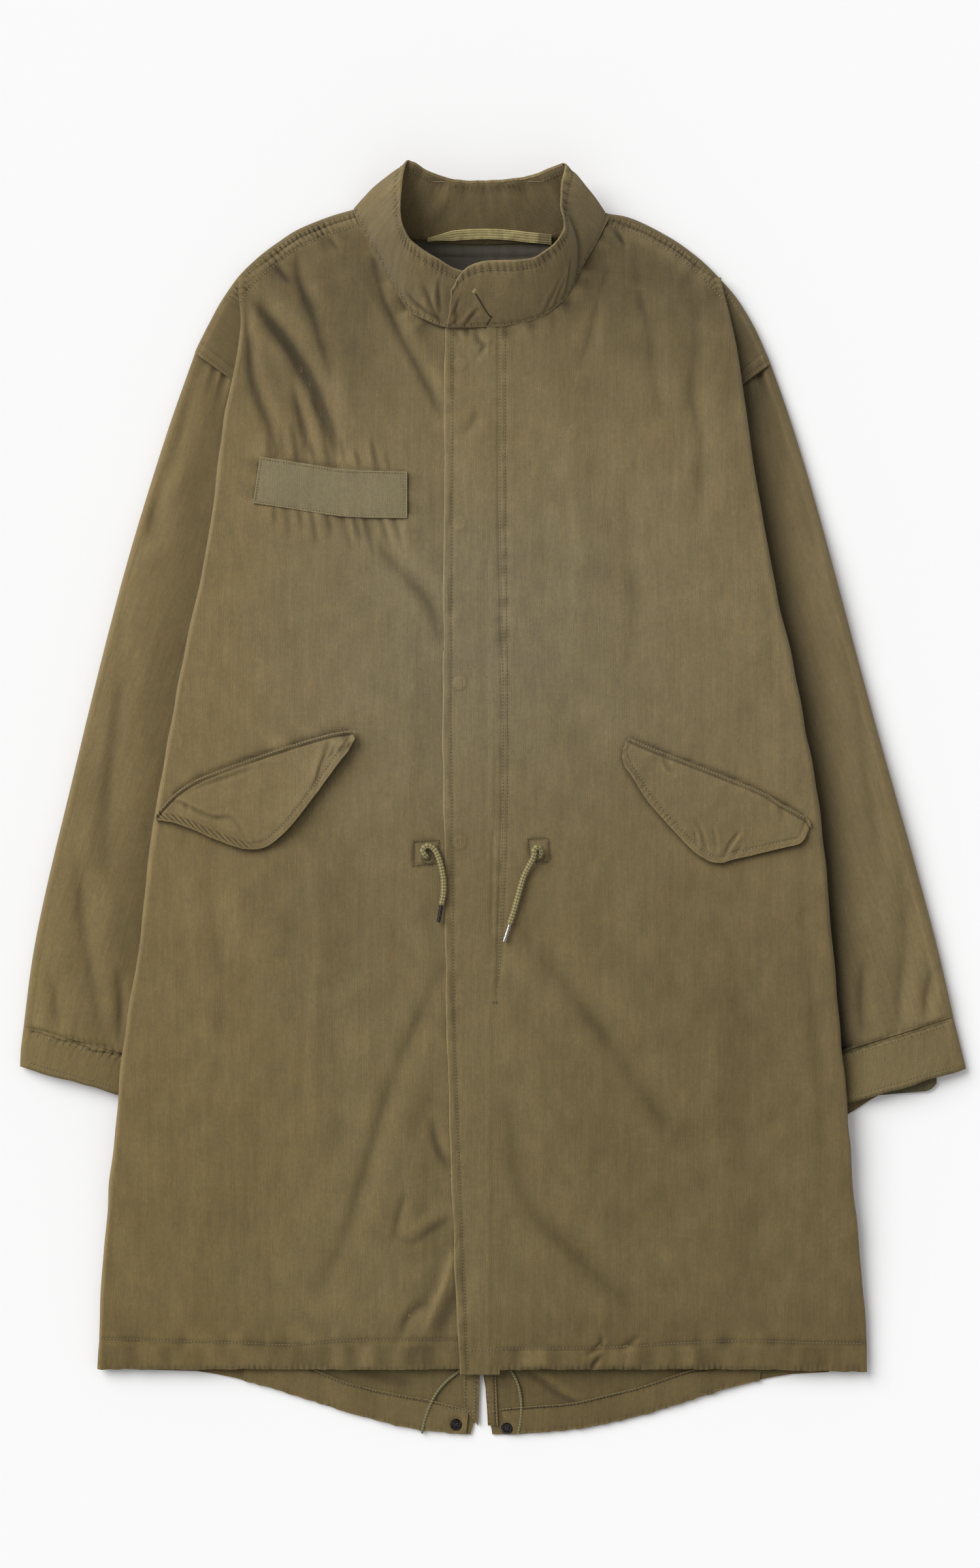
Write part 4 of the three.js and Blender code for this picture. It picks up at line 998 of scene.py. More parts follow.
def front_seams(half, field, x, y):
    """Seams and puckers in a front panel, with painted light and shade on them, and painted shadow under the
    flap's free edge.
    """
    sign = half.sign
    along = np.linspace(half.centre + 2, half.outermost, 60)
    neck = [(sign * d, half.top(d) - 4) for d in along if d < 106]
    seam(field, x, y, neck[::4], pucker=0.5, wave=6, reach=9, groove=0, seed=51 + sign)
    seam(field, x, y, hem_line(half), pucker=0.28, wave=7, reach=9, groove=0.3, seed=55 + sign)
    level = y - HEM
    folds = ripple(x, 7.5, 57 + sign) * ease(level / 6) * ease((HEM_DEPTH - level) / 7)
    toward_middle = 0.5 + 0.5 * ease((210 - np.abs(x)) / 90)
    beads = ticks(x, 5.0, 59 + sign) * bell(level, 4.5)
    field[0] += 0.55 * toward_middle * folds - 0.5 * beads
    # Painted light and shade on the hem's folds, and painted shade in the dents along its edge.
    field[1] += 0.09 * toward_middle * np.clip(folds, -1, 1) - 0.32 * beads
    origin, way, down = outline_of_flap(half)
    sewn = [origin + way * t + down * flap_top(half, t) for t in (0, 30, 60, 100, 140, 165)]
    seam(field, x, y, sewn, pucker=0.35, wave=8, reach=9, groove=0.6, seed=61 + sign)
    free = [origin + way * t + down * flap_low(half, t) for t in np.linspace(0, FLAP_LENGTHS[half.name], 50)]
    # Painted shadow that the flap's free edge throws on the front.
    near, distance, _, _, _ = near_line(x, y, free, 9)
    field[1].reshape(-1)[near] -= 0.42 * bell(distance, 2.6)
    height, tone = shoulder_gathers(half, x, y)
    field[0] += height
    field[1] += tone
    if sign < 0:
        box_seam(field, x, y, tape_corners(), 0.75, 10, 13, 0.3, 71)
    else:
        seam(field, x, y, PLACKET, pucker=0.3, wave=6, reach=4, groove=0.32, seed=75)
        seam(field, x, y, PLACKET_ROW, pucker=0.25, wave=5, reach=4, groove=0.22, seed=77)
    box_seam(field, x, y, EYELETS[half.name], 0.2, 7, 5, 0.45, 81)
    eye_x, eye_y, _ = WAIST_CORDS[half.name][0]
    eye = np.hypot(x - eye_x, y - eye_y)
    field[0] += 0.7 * bell(eye - 4.6, 1.5) - 1.2 * bell(eye, 2.6)
    # Painted shade in the eyelet's hole.
    field[1] -= 0.65 * bell(eye, 2.9, 4)


HEM_DEPTH = 23
# The seam that joins the fly to the left front, and the row of stitches beside it.
PLACKET = [
    (3.2, 408), (3.2, 320), (3.4, 240), (5.0, 160), (6.0, 90), (6.0, 10), (4.4, -70), (2.4, -130),
    (1.2, -172),
]
PLACKET_ROW = [
    (9.3, 408), (9.2, 320), (9.6, 240), (10.6, 160), (11.2, 90), (11.2, 10), (9.4, -60), (6.4, -120),
    (3.4, -160),
]


def placket_x(y):
    return np.interp(-np.asarray(y, float), [-level for _, level in PLACKET], [px for px, _ in PLACKET])


def hem_line(half):
    """The row of stitches above the hem, which pulls in places."""
    edge = half.edge(HEM + HEM_DEPTH)
    return [
        (half.sign * lerp(half.centre + 2, edge, t), HEM + HEM_DEPTH + lift)
        for t, lift in zip(np.linspace(0, 1, 7), HEM_LIFTS[half.name])
    ]


HEM_LIFTS = {"right": (3, 3, 2.5, -1.5, 0.5, 2, 4), "left": (-5, -4.7, -3, 0, 1.7, 0.5, -0.4)}


def shoulder_gathers(half, x, y):
    """Heights of the gathers across the shoulder seam, which the front shares with the wrap, and tones with
    painted light and shade on them.
    """
    rays = WRAP_TABLES[half.name]
    dx = x - rays["pivot"][0]
    dy = y - rays["pivot"][1]
    share = (np.arctan2(dy, dx) - rays["first"]) / (rays["last"] - rays["first"])
    run = share * WRAP_LENGTH
    inward = np.interp(share, rays["shares"], rays["outer"]) - np.hypot(dx, dy)
    strokes = ticks(run + 0.15 * inward, 4.6, 43 + half.sign)
    length = 16.5 if half.sign < 0 else 12.5
    along = ease((0.76 - share) / 0.16) * ease((share + 0.06) / 0.04) * (inward < 90)
    band = ease((inward - 3) / 2) * ease((length - inward) / 3) * along
    rows = (bell(inward - 4.5, 0.9) + bell(inward - length + 1, 1.0)) * along
    soft = ripple(run, 8, 47 + half.sign) * bell(inward - length, 14) * along
    strong = 1.0 if half.sign < 0 else 0.55
    height = strong * band * (0.5 - 1.2 * strokes) - 0.3 * rows + 0.7 * strong * soft
    # Painted shade between the gathers and along the stitch rows, and painted light and shade on the soft
    # ripples.
    return height, strong * (0.05 * band - 0.46 * band * strokes - 0.1 * rows) + 0.035 * soft


# Stitched squares round the eyelets of the waist cord.
EYELETS = {
    "right": [(-68.6, -36.1), (-46.8, -35), (-47.9, -54.6), (-68.6, -56.8)],
    "left": [(28.8, -33.9), (46.2, -33.3), (47.9, -53.5), (31.1, -52.9)],
}


def tape_corners():
    """Corners of the name tape, just inside its edges."""
    low, high = box_of("name_tape")
    return [
        (low[0] + 7, high[1] - 2), (high[0] - 1, high[1] - 14), (high[0] - 1, low[1] + 1),
        (low[0] + 1, low[1] + 14),
    ]


def front_surface(half, x, y):
    """Heights and tones of a front panel's outer face, with its creases and seams."""
    field = np.zeros((2, *np.shape(x)))
    front_seams(half, field, x, y)
    field[0] += 0.12 * noise(x, y, 5.5, 9, 91)
    lie, tone = drape(x, y, True)
    near_top = ease((half.top(np.abs(x)) + 2 - y) / 14)
    dip = dip_under_fly(x) if half.sign < 0 else 0
    return half.height(x, y) - dip + near_top * lie + field[0], tone + field[1]


def front_cut(half):
    """Width, length and area of a front as it was cut: its face and what folds round behind."""
    turned = half.edges - half.seams
    width = (half.edges - half.centre + turned).max()
    length = half.top(half.centre + 100) - HEM
    area = (half.edges - half.centre + turned).mean() * length
    return width, length, min(area, width * length)


def front(half):
    sign = half.sign
    body = spaced(200, (0.001, 0.003, 0.006))
    zones = [(HEM - 10, HEM + 45, 0.7), (-45, 62, 0.3), (235, 300, 0.3), (395, 540, 1.2)]
    rows = graded(320, HEM, 502, zones)[:, None]
    top_distance = lerp(half.centre, half.outermost, body)
    under_collar = np.where(top_distance < 112, 2.6, 0)
    hem = HEM - (2.6 * ease((top_distance - 120) / 90) if sign > 0 else 0)
    y = lerp(hem, half.top(top_distance) + under_collar, rows)
    distance = lerp(half.centre, half.edge(y) - FOLD_REACH, body)
    x = sign * distance
    z, tone = front_surface(half, x, y)
    wave = 0.5 * noise(y[:, -1], 0 * y[:, -1], 16, 16, 95 + sign)
    wave += 1.0 * noise(y[:, -1], 0 * y[:, -1], 60, 60, 97 + sign)

    level = y[:, -1]
    edge = half.edge(level) + np.clip(wave, -1.2, 1.2)
    high = z[:, -1]
    under = np.interp(level, half.levels, half.unders)
    turn = (np.arange(1, 15) / 14)[None, :]
    start = half.edge(level)[:, None] - FOLD_REACH
    reach = edge[:, None] - start
    fold_x = sign * (start + reach * np.sin(np.pi * turn))
    middle = (high + under)[:, None] / 2
    fold_z = middle + (high - under)[:, None] / 2 * np.cos(np.pi * turn)

    back = (np.arange(1, 11) / 10)[None, :]
    seam_at = np.interp(level, half.levels, half.seams)[:, None]
    seam_z = np.interp(level, half.levels, half.seam_heights)[:, None]
    return_z = np.minimum(under, RETURN_TOP)[:, None]
    run = lerp(start, seam_at, back)
    flat_z = lerp(under[:, None], return_z, np.minimum(1, 2 * back))
    down = ease(1 - (run - seam_at) / 15)
    return_zs = lerp(flat_z, np.minimum(seam_z, flat_z), down)

    xs = np.hstack([x, fold_x, sign * run])
    ys = np.hstack([y, np.repeat(level[:, None], 24, 1)])
    zs = np.hstack([z, fold_z, return_zs])
    grid = np.stack([xs, ys, zs], -1)
    shade = wear_and_hollow_shade(np.hstack([z, fold_z * 0 + high[:, None], return_zs * 0 + high[:, None]]))
    shade[:, : body.size] += tone
    # Pale worn edges with a painted highlight along the side fold and the hem.
    rim = bell(np.arange(xs.shape[1]) - (body.size + 3), 2.5)[None, :]
    hem_rim = bell(ys - HEM, 1.6)
    dye = dyed_and_shaded(xs, ys, shade + 0.22 * rim + 0.12 * hem_rim)
    scallop = 0.35 * noise(xs[0], 0 * xs[0], 4.5, 50, 93 + sign)[None, :] * bell(ys - HEM, 7)
    grid[:, :, 1] += scallop
    turned = ("bottom",) if sign > 0 else ("bottom", "left")
    grid[:, : body.size] = rounded_edges(grid[:, : body.size], 1.2, turned, out=sign)
    across = runs(np.stack([xs, zs], -1), 1)
    return shell(
        f"cloth_front_{half.name}", grid, CLOTH, SHELL, dye, grain_of(grid, sign * across), out=sign,
        node=half.node,
    )


fronts = {half.name: front(half) for half in (RIGHT, LEFT)}


# ---- Fly ----

class Strip:
    """A long upright strip, measured on its CAD node: its left and right edges at each level."""

    def __init__(self, node):
        low, high = box_of(node)
        self.node = node
        self.low = low[1]
        self.high = high[1]
        self.levels = np.linspace(self.low + 0.5, self.high - 0.5, 120)
        cuts = [cut_at_y(node, y) for y in self.levels]
        self.lefts = smooth(np.array([cut[:, 0].min() for cut in cuts]), 4)
        self.rights = smooth(np.array([cut[:, 0].max() for cut in cuts]), 4)

    def left(self, y):
        return np.interp(y, self.levels, self.lefts)

    def right(self, y):
        return np.interp(y, self.levels, self.rights)


FLY = Strip("fly")
SNAP_PITCH = 136  # between the hidden studs of the fly, whose discs press through
SNAP_TOP = 371.6
FLY_STITCH = 7  # from the free edge


def fly_surface(x, y):
    """Heights and tones of the fly: its seams, its hidden studs' relief, and its join to the left front."""
    field = np.zeros((2, *x.shape))
    free = FLY.left(y) + FLY_STITCH
    line = [(FLY.left(level) + FLY_STITCH, level) for level in np.linspace(FLY.low, FLY.high, 14)]
    seam(field, x, y, line, pucker=0.28, wave=6, reach=5, groove=0.3, seed=101)
    field[0] += 0.4 * ease((free - x) / 3) * noise(x, y, 12, 16, 103)
    field[0] += 0.1 * noise(x, y, 4.5, 7, 105)
    field[1] -= 0.035 * ease((free - x) / 3)
    for k in range(7):
        radius = np.hypot(x + 29.5, y - SNAP_TOP + SNAP_PITCH * k)
        ring = bell(radius - 4.4, 1.1)
        dot = bell(radius, 1.8)
        moat = bell(radius - 6.8, 1.2) + 0.7 * bell(radius - 2.7, 0.9)
        strength = (0.5, 0.5, 1.0, 0.6, 0.2, 0.2, 0.2)[k]
        field[0] += strength * (0.5 * ring + 0.4 * dot + 0.4 * bell(radius, 5.5, 6))
        # Painted highlight on the studs' raised rings and dots, painted shade in the hollows round them.
        field[1] += strength * (0.08 * ring + 0.08 * dot - 0.13 * moat)
    for width, depth, points in FLY_CREASES:
        crease(field, x, y, width, depth, points)
    near, distance, _, run, length = near_line(x, y, curve(FLY_SEWN, 20), 6)
    ends = ease(run / 8) * ease((length - run) / 8)
    uneven = np.clip(0.75 + 0.45 * ripple(run, 40, 109), 0.2, 1.3)
    # Painted shade in the hollow beside the sewn edge.
    field[1].reshape(-1)[near] -= 0.2 * ends * uneven * bell(distance, 1.7)
    trough = 0.6 * bell(x + 7, 5) * bell(y - 60, 260)
    lie, tone = drape(x, y, True)
    under = lerp(RIGHT.height(x, y), LEFT.height(x, y), ease((x + 24) / 26))
    own = under + FLY_RAISE + lie + field[0] - trough
    past = x - placket_x(y)
    beside, left_tone = front_surface(LEFT, x, y)
    sewn = ease((y + 176) / 6)
    onto_left = beside + lerp(0.04 - 0.015 * past * np.abs(past), 0.2 - 0.7 * ease((past + 1) / 2.5), sewn)
    over = ease((past + 10) / 8)
    return lerp(own, onto_left, over), lerp(tone + field[1], left_tone, over)


# The hollow line beside the fly's sewn edge.
FLY_SEWN = [
    (1.6, 398), (1.5, 338), (1.4, 290), (1.9, 250), (2.6, 205), (3.4, 176), (4, 114), (4.1, 60), (2.4, 24),
    (0.6, -16), (-0.6, -45), (-1, -80), (-0.8, -110), (0, -150), (0.4, -176),
]
# Creases of the fly itself, most of them at its top, as the creases of the fronts.
FLY_CREASES = [
    (2.2, 0.8, [(-36, 400), (-32, 397), (-29, 390)]),
    (2.6, 0.9, [(-16, 399), (-13, 391), (-9, 387), (-12, 380)]),
    (2.4, 0.9, [(-1, 402), (2, 394), (-3, 386), (1, 378)]),
    (2.2, 0.7, [(-24, 402), (-22, 396)]),
    (2.6, 1.4, [(1.6, 338), (1.4, 290), (1.9, 250), (2.3, 214)]),
    (2.4, 1.0, [(3.4, 176), (4, 114), (4.1, 60), (2.4, 24), (0.6, -16)]),
    (2.4, 1.5, [(-0.6, -30), (-1, -70), (-0.8, -110), (0, -150), (0.4, -176)]),
    (5.0, 0.6, [(-14, 330), (-20, 318), (-26, 312)]),
]


def fly():
    rows = spaced(520, (0.0005, 0.0012, 0.002))[:, None]
    columns = spaced(44, (0.012, 0.03, 0.055))
    y = lerp(FLY.low, FLY.high + 2.5, rows) + 0 * columns
    wobble = 0.5 * ripple(y, 18, 106) * (1 - columns)
    x = lerp(FLY.left(y), placket_x(y) + 3.5, columns) + wobble
    z, tone = fly_surface(x, y)
    shade = wear_and_hollow_shade(z, 3, 0.2) * ease((placket_x(y) - 2 - x) / 6) + tone
    # A pale worn edge with a painted highlight along the fly's free edge.
    rim = bell(x - FLY.left(y), 1.2)
    dye = dyed_and_shaded(x, y, shade + 0.3 * rim + 0.03)
    grid = rounded_edges(np.stack([x, y, z], -1), 1.5, ("bottom", "left"))
    return shell("cloth_fly", grid, DOUBLE, SHELL, dye, grain_of(grid), node="fly")


# ---- Sleeves and cuffs ----

class Tube:
    """A flattened tube, measured on its CAD node: plan and height at shares along and across it."""

    def __init__(self, node, sign, rise=0.0, under_reach=0.0):
        points = SURFACES[node][0]
        distance = sign * points[:, 0]
        self.node = node
        self.sign = sign
        self.rise = rise
        self.outer_levels = np.linspace(points[:, 1].max() - 0.6, points[distance.argmax(), 1] + 0.6, 80)
        inner_end = points[:, 1].min() + under_reach
        self.inner_levels = np.linspace(points[distance.argmin(), 1] - 0.6, inner_end + 0.6, 80)
        outers = [cut_at_y(node, y)[:, 0] * sign for y in self.outer_levels]
        inners = [cut_at_y(node, y)[:, 0] * sign for y in self.inner_levels]
        self.outers = smooth(np.array([cut.max() for cut in outers]), 3)
        self.inners = smooth(np.array([cut.min() for cut in inners]), 3)
        self.shares = np.linspace(0, 1, 80)
        along = np.linspace(0.012, 0.988, 45)[:, None]
        across = np.linspace(0.06, 0.95, 18)[None, :]
        x, y = self.plan(along, across)
        self.heights = blurred(probe(node, x, y), 1)
        outer_edge = self.outers, self.outer_levels
        self.length = np.hypot(*(row[-1] - row[0] for row in outer_edge))
        self.width = np.hypot(self.outers[0] - self.inners[0], self.outer_levels[0] - self.inner_levels[0])

    def plan(self, along, across):
        """Places at shares along and across; shares a little outside 0 to 1 run on past the ends."""
        def edge(levels, distances):
            inside = np.clip(along, 0, 1)
            past = along - inside
            y = np.interp(inside, self.shares, levels) + past * (levels[-1] - levels[0])
            d = np.interp(inside, self.shares, distances)
            return d + past * (distances[-1] - distances[0]), y

        outer_d, outer_y = edge(self.outer_levels, self.outers)
        inner_d, inner_y = edge(self.inner_levels, self.inners)
        curve_in = self.rise * np.clip(1 - along / 0.13, 0, 1) ** 1.5
        curve_in = curve_in * ease(across / 0.3) * ease((1.04 - across) / 0.2)
        return self.sign * lerp(outer_d, inner_d, across), lerp(outer_y, inner_y, across) + curve_in

    def height(self, along, across):
        a = np.clip((np.asarray(along) - 0.012) / 0.976, 0, 1) * 44
        b = np.clip((np.asarray(across) - 0.06) / 0.89, 0, 1) * 17
        i = np.minimum(a.astype(int), 43)
        j = np.minimum(b.astype(int), 16)
        h = self.heights
        low = lerp(h[i, j], h[i, j + 1], b - j)
        return lerp(low, lerp(h[i + 1, j], h[i + 1, j + 1], b - j), a - i)


SLEEVES = {"right": Tube("sleeve_right", -1, rise=28), "left": Tube("sleeve_left", 1, rise=30)}
CUFFS = {"right": Tube("cuff_right", -1), "left": Tube("cuff_left", 1, under_reach=12)}
SLEEVE_CREASES = {
    "right": [
        (9, 2.2, [(-270, 372), (-283, 330), (-290, 280), (-296, 230)]),
        (8, 1.6, [(-262, 360), (-268, 320), (-278, 280)]),
        (13, 1.8, [(-318, 150), (-322, 90), (-330, 20), (-334, -60)]),
        (14, -1.6, [(-300, 210), (-318, 120), (-334, 40), (-352, -60)]),
        (10, 1.8, [(-356, -60), (-352, -110), (-344, -160), (-338, -198)]),
        (7, 1.4, [(-380, -150), (-376, -175), (-374, -198)]),
        (6, 1.2, [(-322, -150), (-320, -180), (-322, -206)]),
    ],
    "left": [
        (9, 1.8, [(246, 362), (258, 320), (268, 270), (276, 220)]),
        (12, 1.8, [(300, 130), (312, 70), (322, 0), (330, -60)]),
        (12, -1.4, [(280, 210), (300, 120), (322, 30), (340, -50)]),
        (9, 1.8, [(352, -90), (352, -130), (348, -160), (346, -192)]),
        (6, 1.4, [(374, -150), (370, -172), (369, -188)]),
        (6, 1.2, [(316, -140), (314, -175), (316, -200)]),
    ],
}


def sleeve_surface(name, along, across, x, y):
    """Height of a sleeve's upper layer, with its creases and the gathers at both seams, and tones of painted
    light and shade.
    """
    tube = SLEEVES[name]
    marks = np.zeros((2, *x.shape))
    marks[0] = 1.1 * noise(x, y, 36, 110, 121 + tube.sign) + 0.5 * noise(x, y, 16, 42, 125 + tube.sign)
    marks[0] += 0.17 * noise(x, y, 9, 14, 127) + 0.07 * noise(x, y, 4.5, 7, 128)
    for width, depth, points in SLEEVE_CREASES[name]:
        crease(marks, x, y, width, 0.9 * depth, points)
    field, tone = marks
    run = along * tube.length
    rest = (1 - along) * tube.length
    over = across * lerp(tube.width, CUFFS[name].width, along)
    pull = 1.0 if tube.sign < 0 else 0.4
    pinches = ticks(over + 0.3 * rest, 6.0, 145 + tube.sign) * np.exp(-rest / 5)
    field = field - 0.7 * pull * pinches
    # Painted shade in the pinches at the sleeve's lower end.
    tone = tone - 0.4 * pull * pinches
    gathers = noise(over, run, 5, 60, 131 + tube.sign)
    gathered = gathers * np.exp(-run / 14) * ease(run / 2)
    bunched = noise(over, rest, 10, 80, 135 + tube.sign) * np.exp(-rest / 22) * ease(rest / 3)
    field = field + 1.7 * gathered + 1.6 * bunched
    # Painted light and shade on the gathers and the bunched cloth.
    tone = tone + 0.12 * gathered + 0.08 * bunched
    inset = ease(across / 0.06) * ease((1 - across) / 0.06)
    return tube.height(along, across) + field * inset, tone * inset


def tube_grid(tube, along, counts, outer_round, inner_round, top, under_reach=0.0):
    """A closed grid round a flattened tube, its shares across, and its tones.

    It runs over the lower layer, inner fold, upper layer and outer fold. counts are the columns in the upper
    layer, each fold and the lower layer."""
    upper_count, fold_count, lower_count = counts
    along = along[:, None]
    width = tube.width * (1 - 0.45 * along)
    outer_share = outer_round / width
    inner_share = 1 - inner_round / width
    lower = lerp(outer_share, inner_share, np.linspace(0, 1, lower_count)[None, :])
    upper = lerp(inner_share, outer_share, np.linspace(0, 1, upper_count)[None, :])
    turn_in = (np.arange(1, fold_count + 1) / (fold_count + 1))[None, :]
    turn_out = 1 - turn_in
    inner = inner_share + (1 - inner_share) * np.sin(np.pi * turn_in)
    outer = outer_share * (1 - np.sin(np.pi * turn_out))
    across = np.hstack([lower, inner, upper, outer])
    x, y = tube.plan(along + 0 * across, across)
    shown = slice(lower_count + fold_count, -fold_count)
    z_upper, tone = top(along + 0 * upper, upper, x[:, shown], y[:, shown])
    tones = np.zeros(across.shape)
    tones[:, shown] = tone
    ground = 0.15
    inner_top = z_upper[:, :1]
    outer_top = z_upper[:, -1:]
    z_lower = ground + 0 * lower
    z_inner = ground + (inner_top - ground) / 2 * (1 - np.cos(np.pi * turn_in))
    z_outer = ground + (outer_top - ground) / 2 * (1 - np.cos(np.pi * turn_out))
    if under_reach:
        ending = bell((1 - along) * tube.length, 14)
        y[:, :lower_count] -= under_reach * ending * ease((lower - 0.5) / 0.35)
        y[:, lower_count : lower_count + fold_count] -= under_reach * ending * (1 - turn_in)
    return np.stack([x, y, np.hstack([z_lower, z_inner, z_upper, z_outer])], -1), across, tones


def beside_body(half, grid, width, power):
    """1 where a sleeve meets the body's side, falling off outward: where the painted shadow that the body
    throws on it lies.
    """
    gap = half.sign * grid[:, :, 0] - half.edge(grid[:, :, 1])
    return bell(np.clip(gap, 0, None), width, power)


def tube_grain(tube, grid, along, first_column):
    over = runs(grid, 1)
    over = over - over[:, first_column : first_column + 1]
    run = (along * tube.length)[:, None] + 0 * over
    return np.stack([over, run, 0 * run], -1)


def sleeve(half):
    name = half.name
    tube = SLEEVES[name]

    def top(along, across, x, y):
        surface, tone = sleeve_surface(name, along, across, x, y)
        start = 1.6 * bell(along * tube.length, 4)
        end = 1.2 * bell((1 - along) * tube.length, 3)
        return surface - start - end, tone

    along = spaced(256, (0.002, 0.005))
    grid, across, tones = tube_grid(tube, along, (90, 8, 10), 7, 4.5, top)
    shade = wear_and_hollow_shade(np.where(across > 0, grid[:, :, 2], 0), 4, 0.13)
    shade[:, :20] = 0
    shade[:, -9:] = 0
    # A pale worn edge with a painted highlight along the outer fold, and painted shadow of the body beside
    # its edge.
    rim = bell(across, 0.02)
    painted_body_shadow = (0.58 if half.sign > 0 else 0.06) * beside_body(half, grid, 24, 1.4)
    dye = dyed_and_shaded(grid[:, :, 0], grid[:, :, 1], shade + tones + 0.12 * rim - painted_body_shadow)
    grain = tube_grain(tube, grid, along, 70)
    made_as = {"closed": True, "out": -half.sign, "node": tube.node}
    return shell(f"cloth_sleeve_{name}", grid, CLOTH, SHELL, dye, grain, **made_as)


def cuff_surface(name, along, across, x, y):
    """Height and tone of a cuff's upper layer: a puckered seam above, and a turned edge below."""
    tube = CUFFS[name]
    run = along * tube.length
    rest = (1 - along) * tube.length
    over = across * tube.width
    pull = 1.0 if tube.sign < 0 else 0.4
    jog = pull * 0.9 * ripple(over, 5, 149 + tube.sign)
    groove = bell(run - 0.6 - jog, 1.1)
    pinches = ticks(over + 0.5 * run, 6.0, 145 + tube.sign) * np.exp(-np.abs(run - 1) / 4)
    swell = noise(over, run, 9, 60, 147 + tube.sign) * np.exp(-run / 14)
    edge = bell(rest, 2.2)
    nicks = ticks(over, 3.4, 151 + tube.sign) * edge
    field = 0.8 * noise(x, y, 24, 24, 141 + tube.sign) + 0.1 * noise(x, y, 4.5, 7, 143)
    field = field + 0.6 * pull * swell - 0.6 * pull * pinches - 0.9 * groove - 0.3 * nicks
    # Painted shade in the pinches, the seam's groove, the nicks and along the turned edge, and painted light
    # on the swell.
    tone = 0.03 * swell - 0.42 * pull * pinches - 0.3 * groove - 0.26 * nicks - 0.1 * edge
    bend = 1.3 * bell(rest, 1.6) + 2.0 * bell(run + 2.4, 1.8)
    inset = ease(across / 0.08) * ease((1 - across) / 0.08)
    return tube.height(along, across) + 0.5 + field * inset - bend, tone * inset


def cuff(half):
    name = half.name
    tube = CUFFS[name]
    overlap = 2.2 / tube.length

    along = lerp(-overlap, 1, spaced(60, (0.006, 0.014)))
    reach = 12 if name == "left" else 0
    top = partial(cuff_surface, name)
    grid, across, tones = tube_grid(tube, along, (150, 8, 20), 6, 5, top, reach)
    shade = wear_and_hollow_shade(grid[:, :, 2], 3, 0.15)
    shade[:, :30] = 0
    shade[:, -9:] = 0
    rest = ((1 - along) * tube.length)[:, None]
    # A pale worn edge with a painted highlight along the outer fold, and painted shadow of the body beside
    # its edge.
    rim = bell(across, 0.03)
    painted_body_shadow = (0.3 if half.sign > 0 else 0.05) * beside_body(half, grid, 13, 1.6)
    grid[:, :, 1] += 0.45 * noise(grid[:, :, 0], 0 * grid[:, :, 0], 7, 50, 153) * bell(rest, 6)
    dye = dyed_and_shaded(grid[:, :, 0], grid[:, :, 1], shade + tones + 0.1 * rim - painted_body_shadow)
    grain = tube_grain(tube, grid, along, 0)
    made_as = {"every": 2, "closed": True, "out": -half.sign, "node": tube.node}
    return shell(f"cloth_cuff_{name}", grid, DOUBLE, SHELL, dye, grain, **made_as)


# ---- Back: the sheet that lies on the surface, and its wraps over the shoulders ----

BACK_TOP = 1.6
TAIL_Y = -440  # below this the back shows, as the fishtail


def tail_lift(x, y):
    """How far the tail's cloth waves up off the surface."""
    shown = ease((TAIL_Y - y) / 60)
    wave = 0.5 + 0.5 * noise(x, y, 34, 26, 151)
    return shown * np.clip(wave, 0, 1.6) * (0.25 + 0.75 * ease((np.abs(x + 11) - 55) / 30))


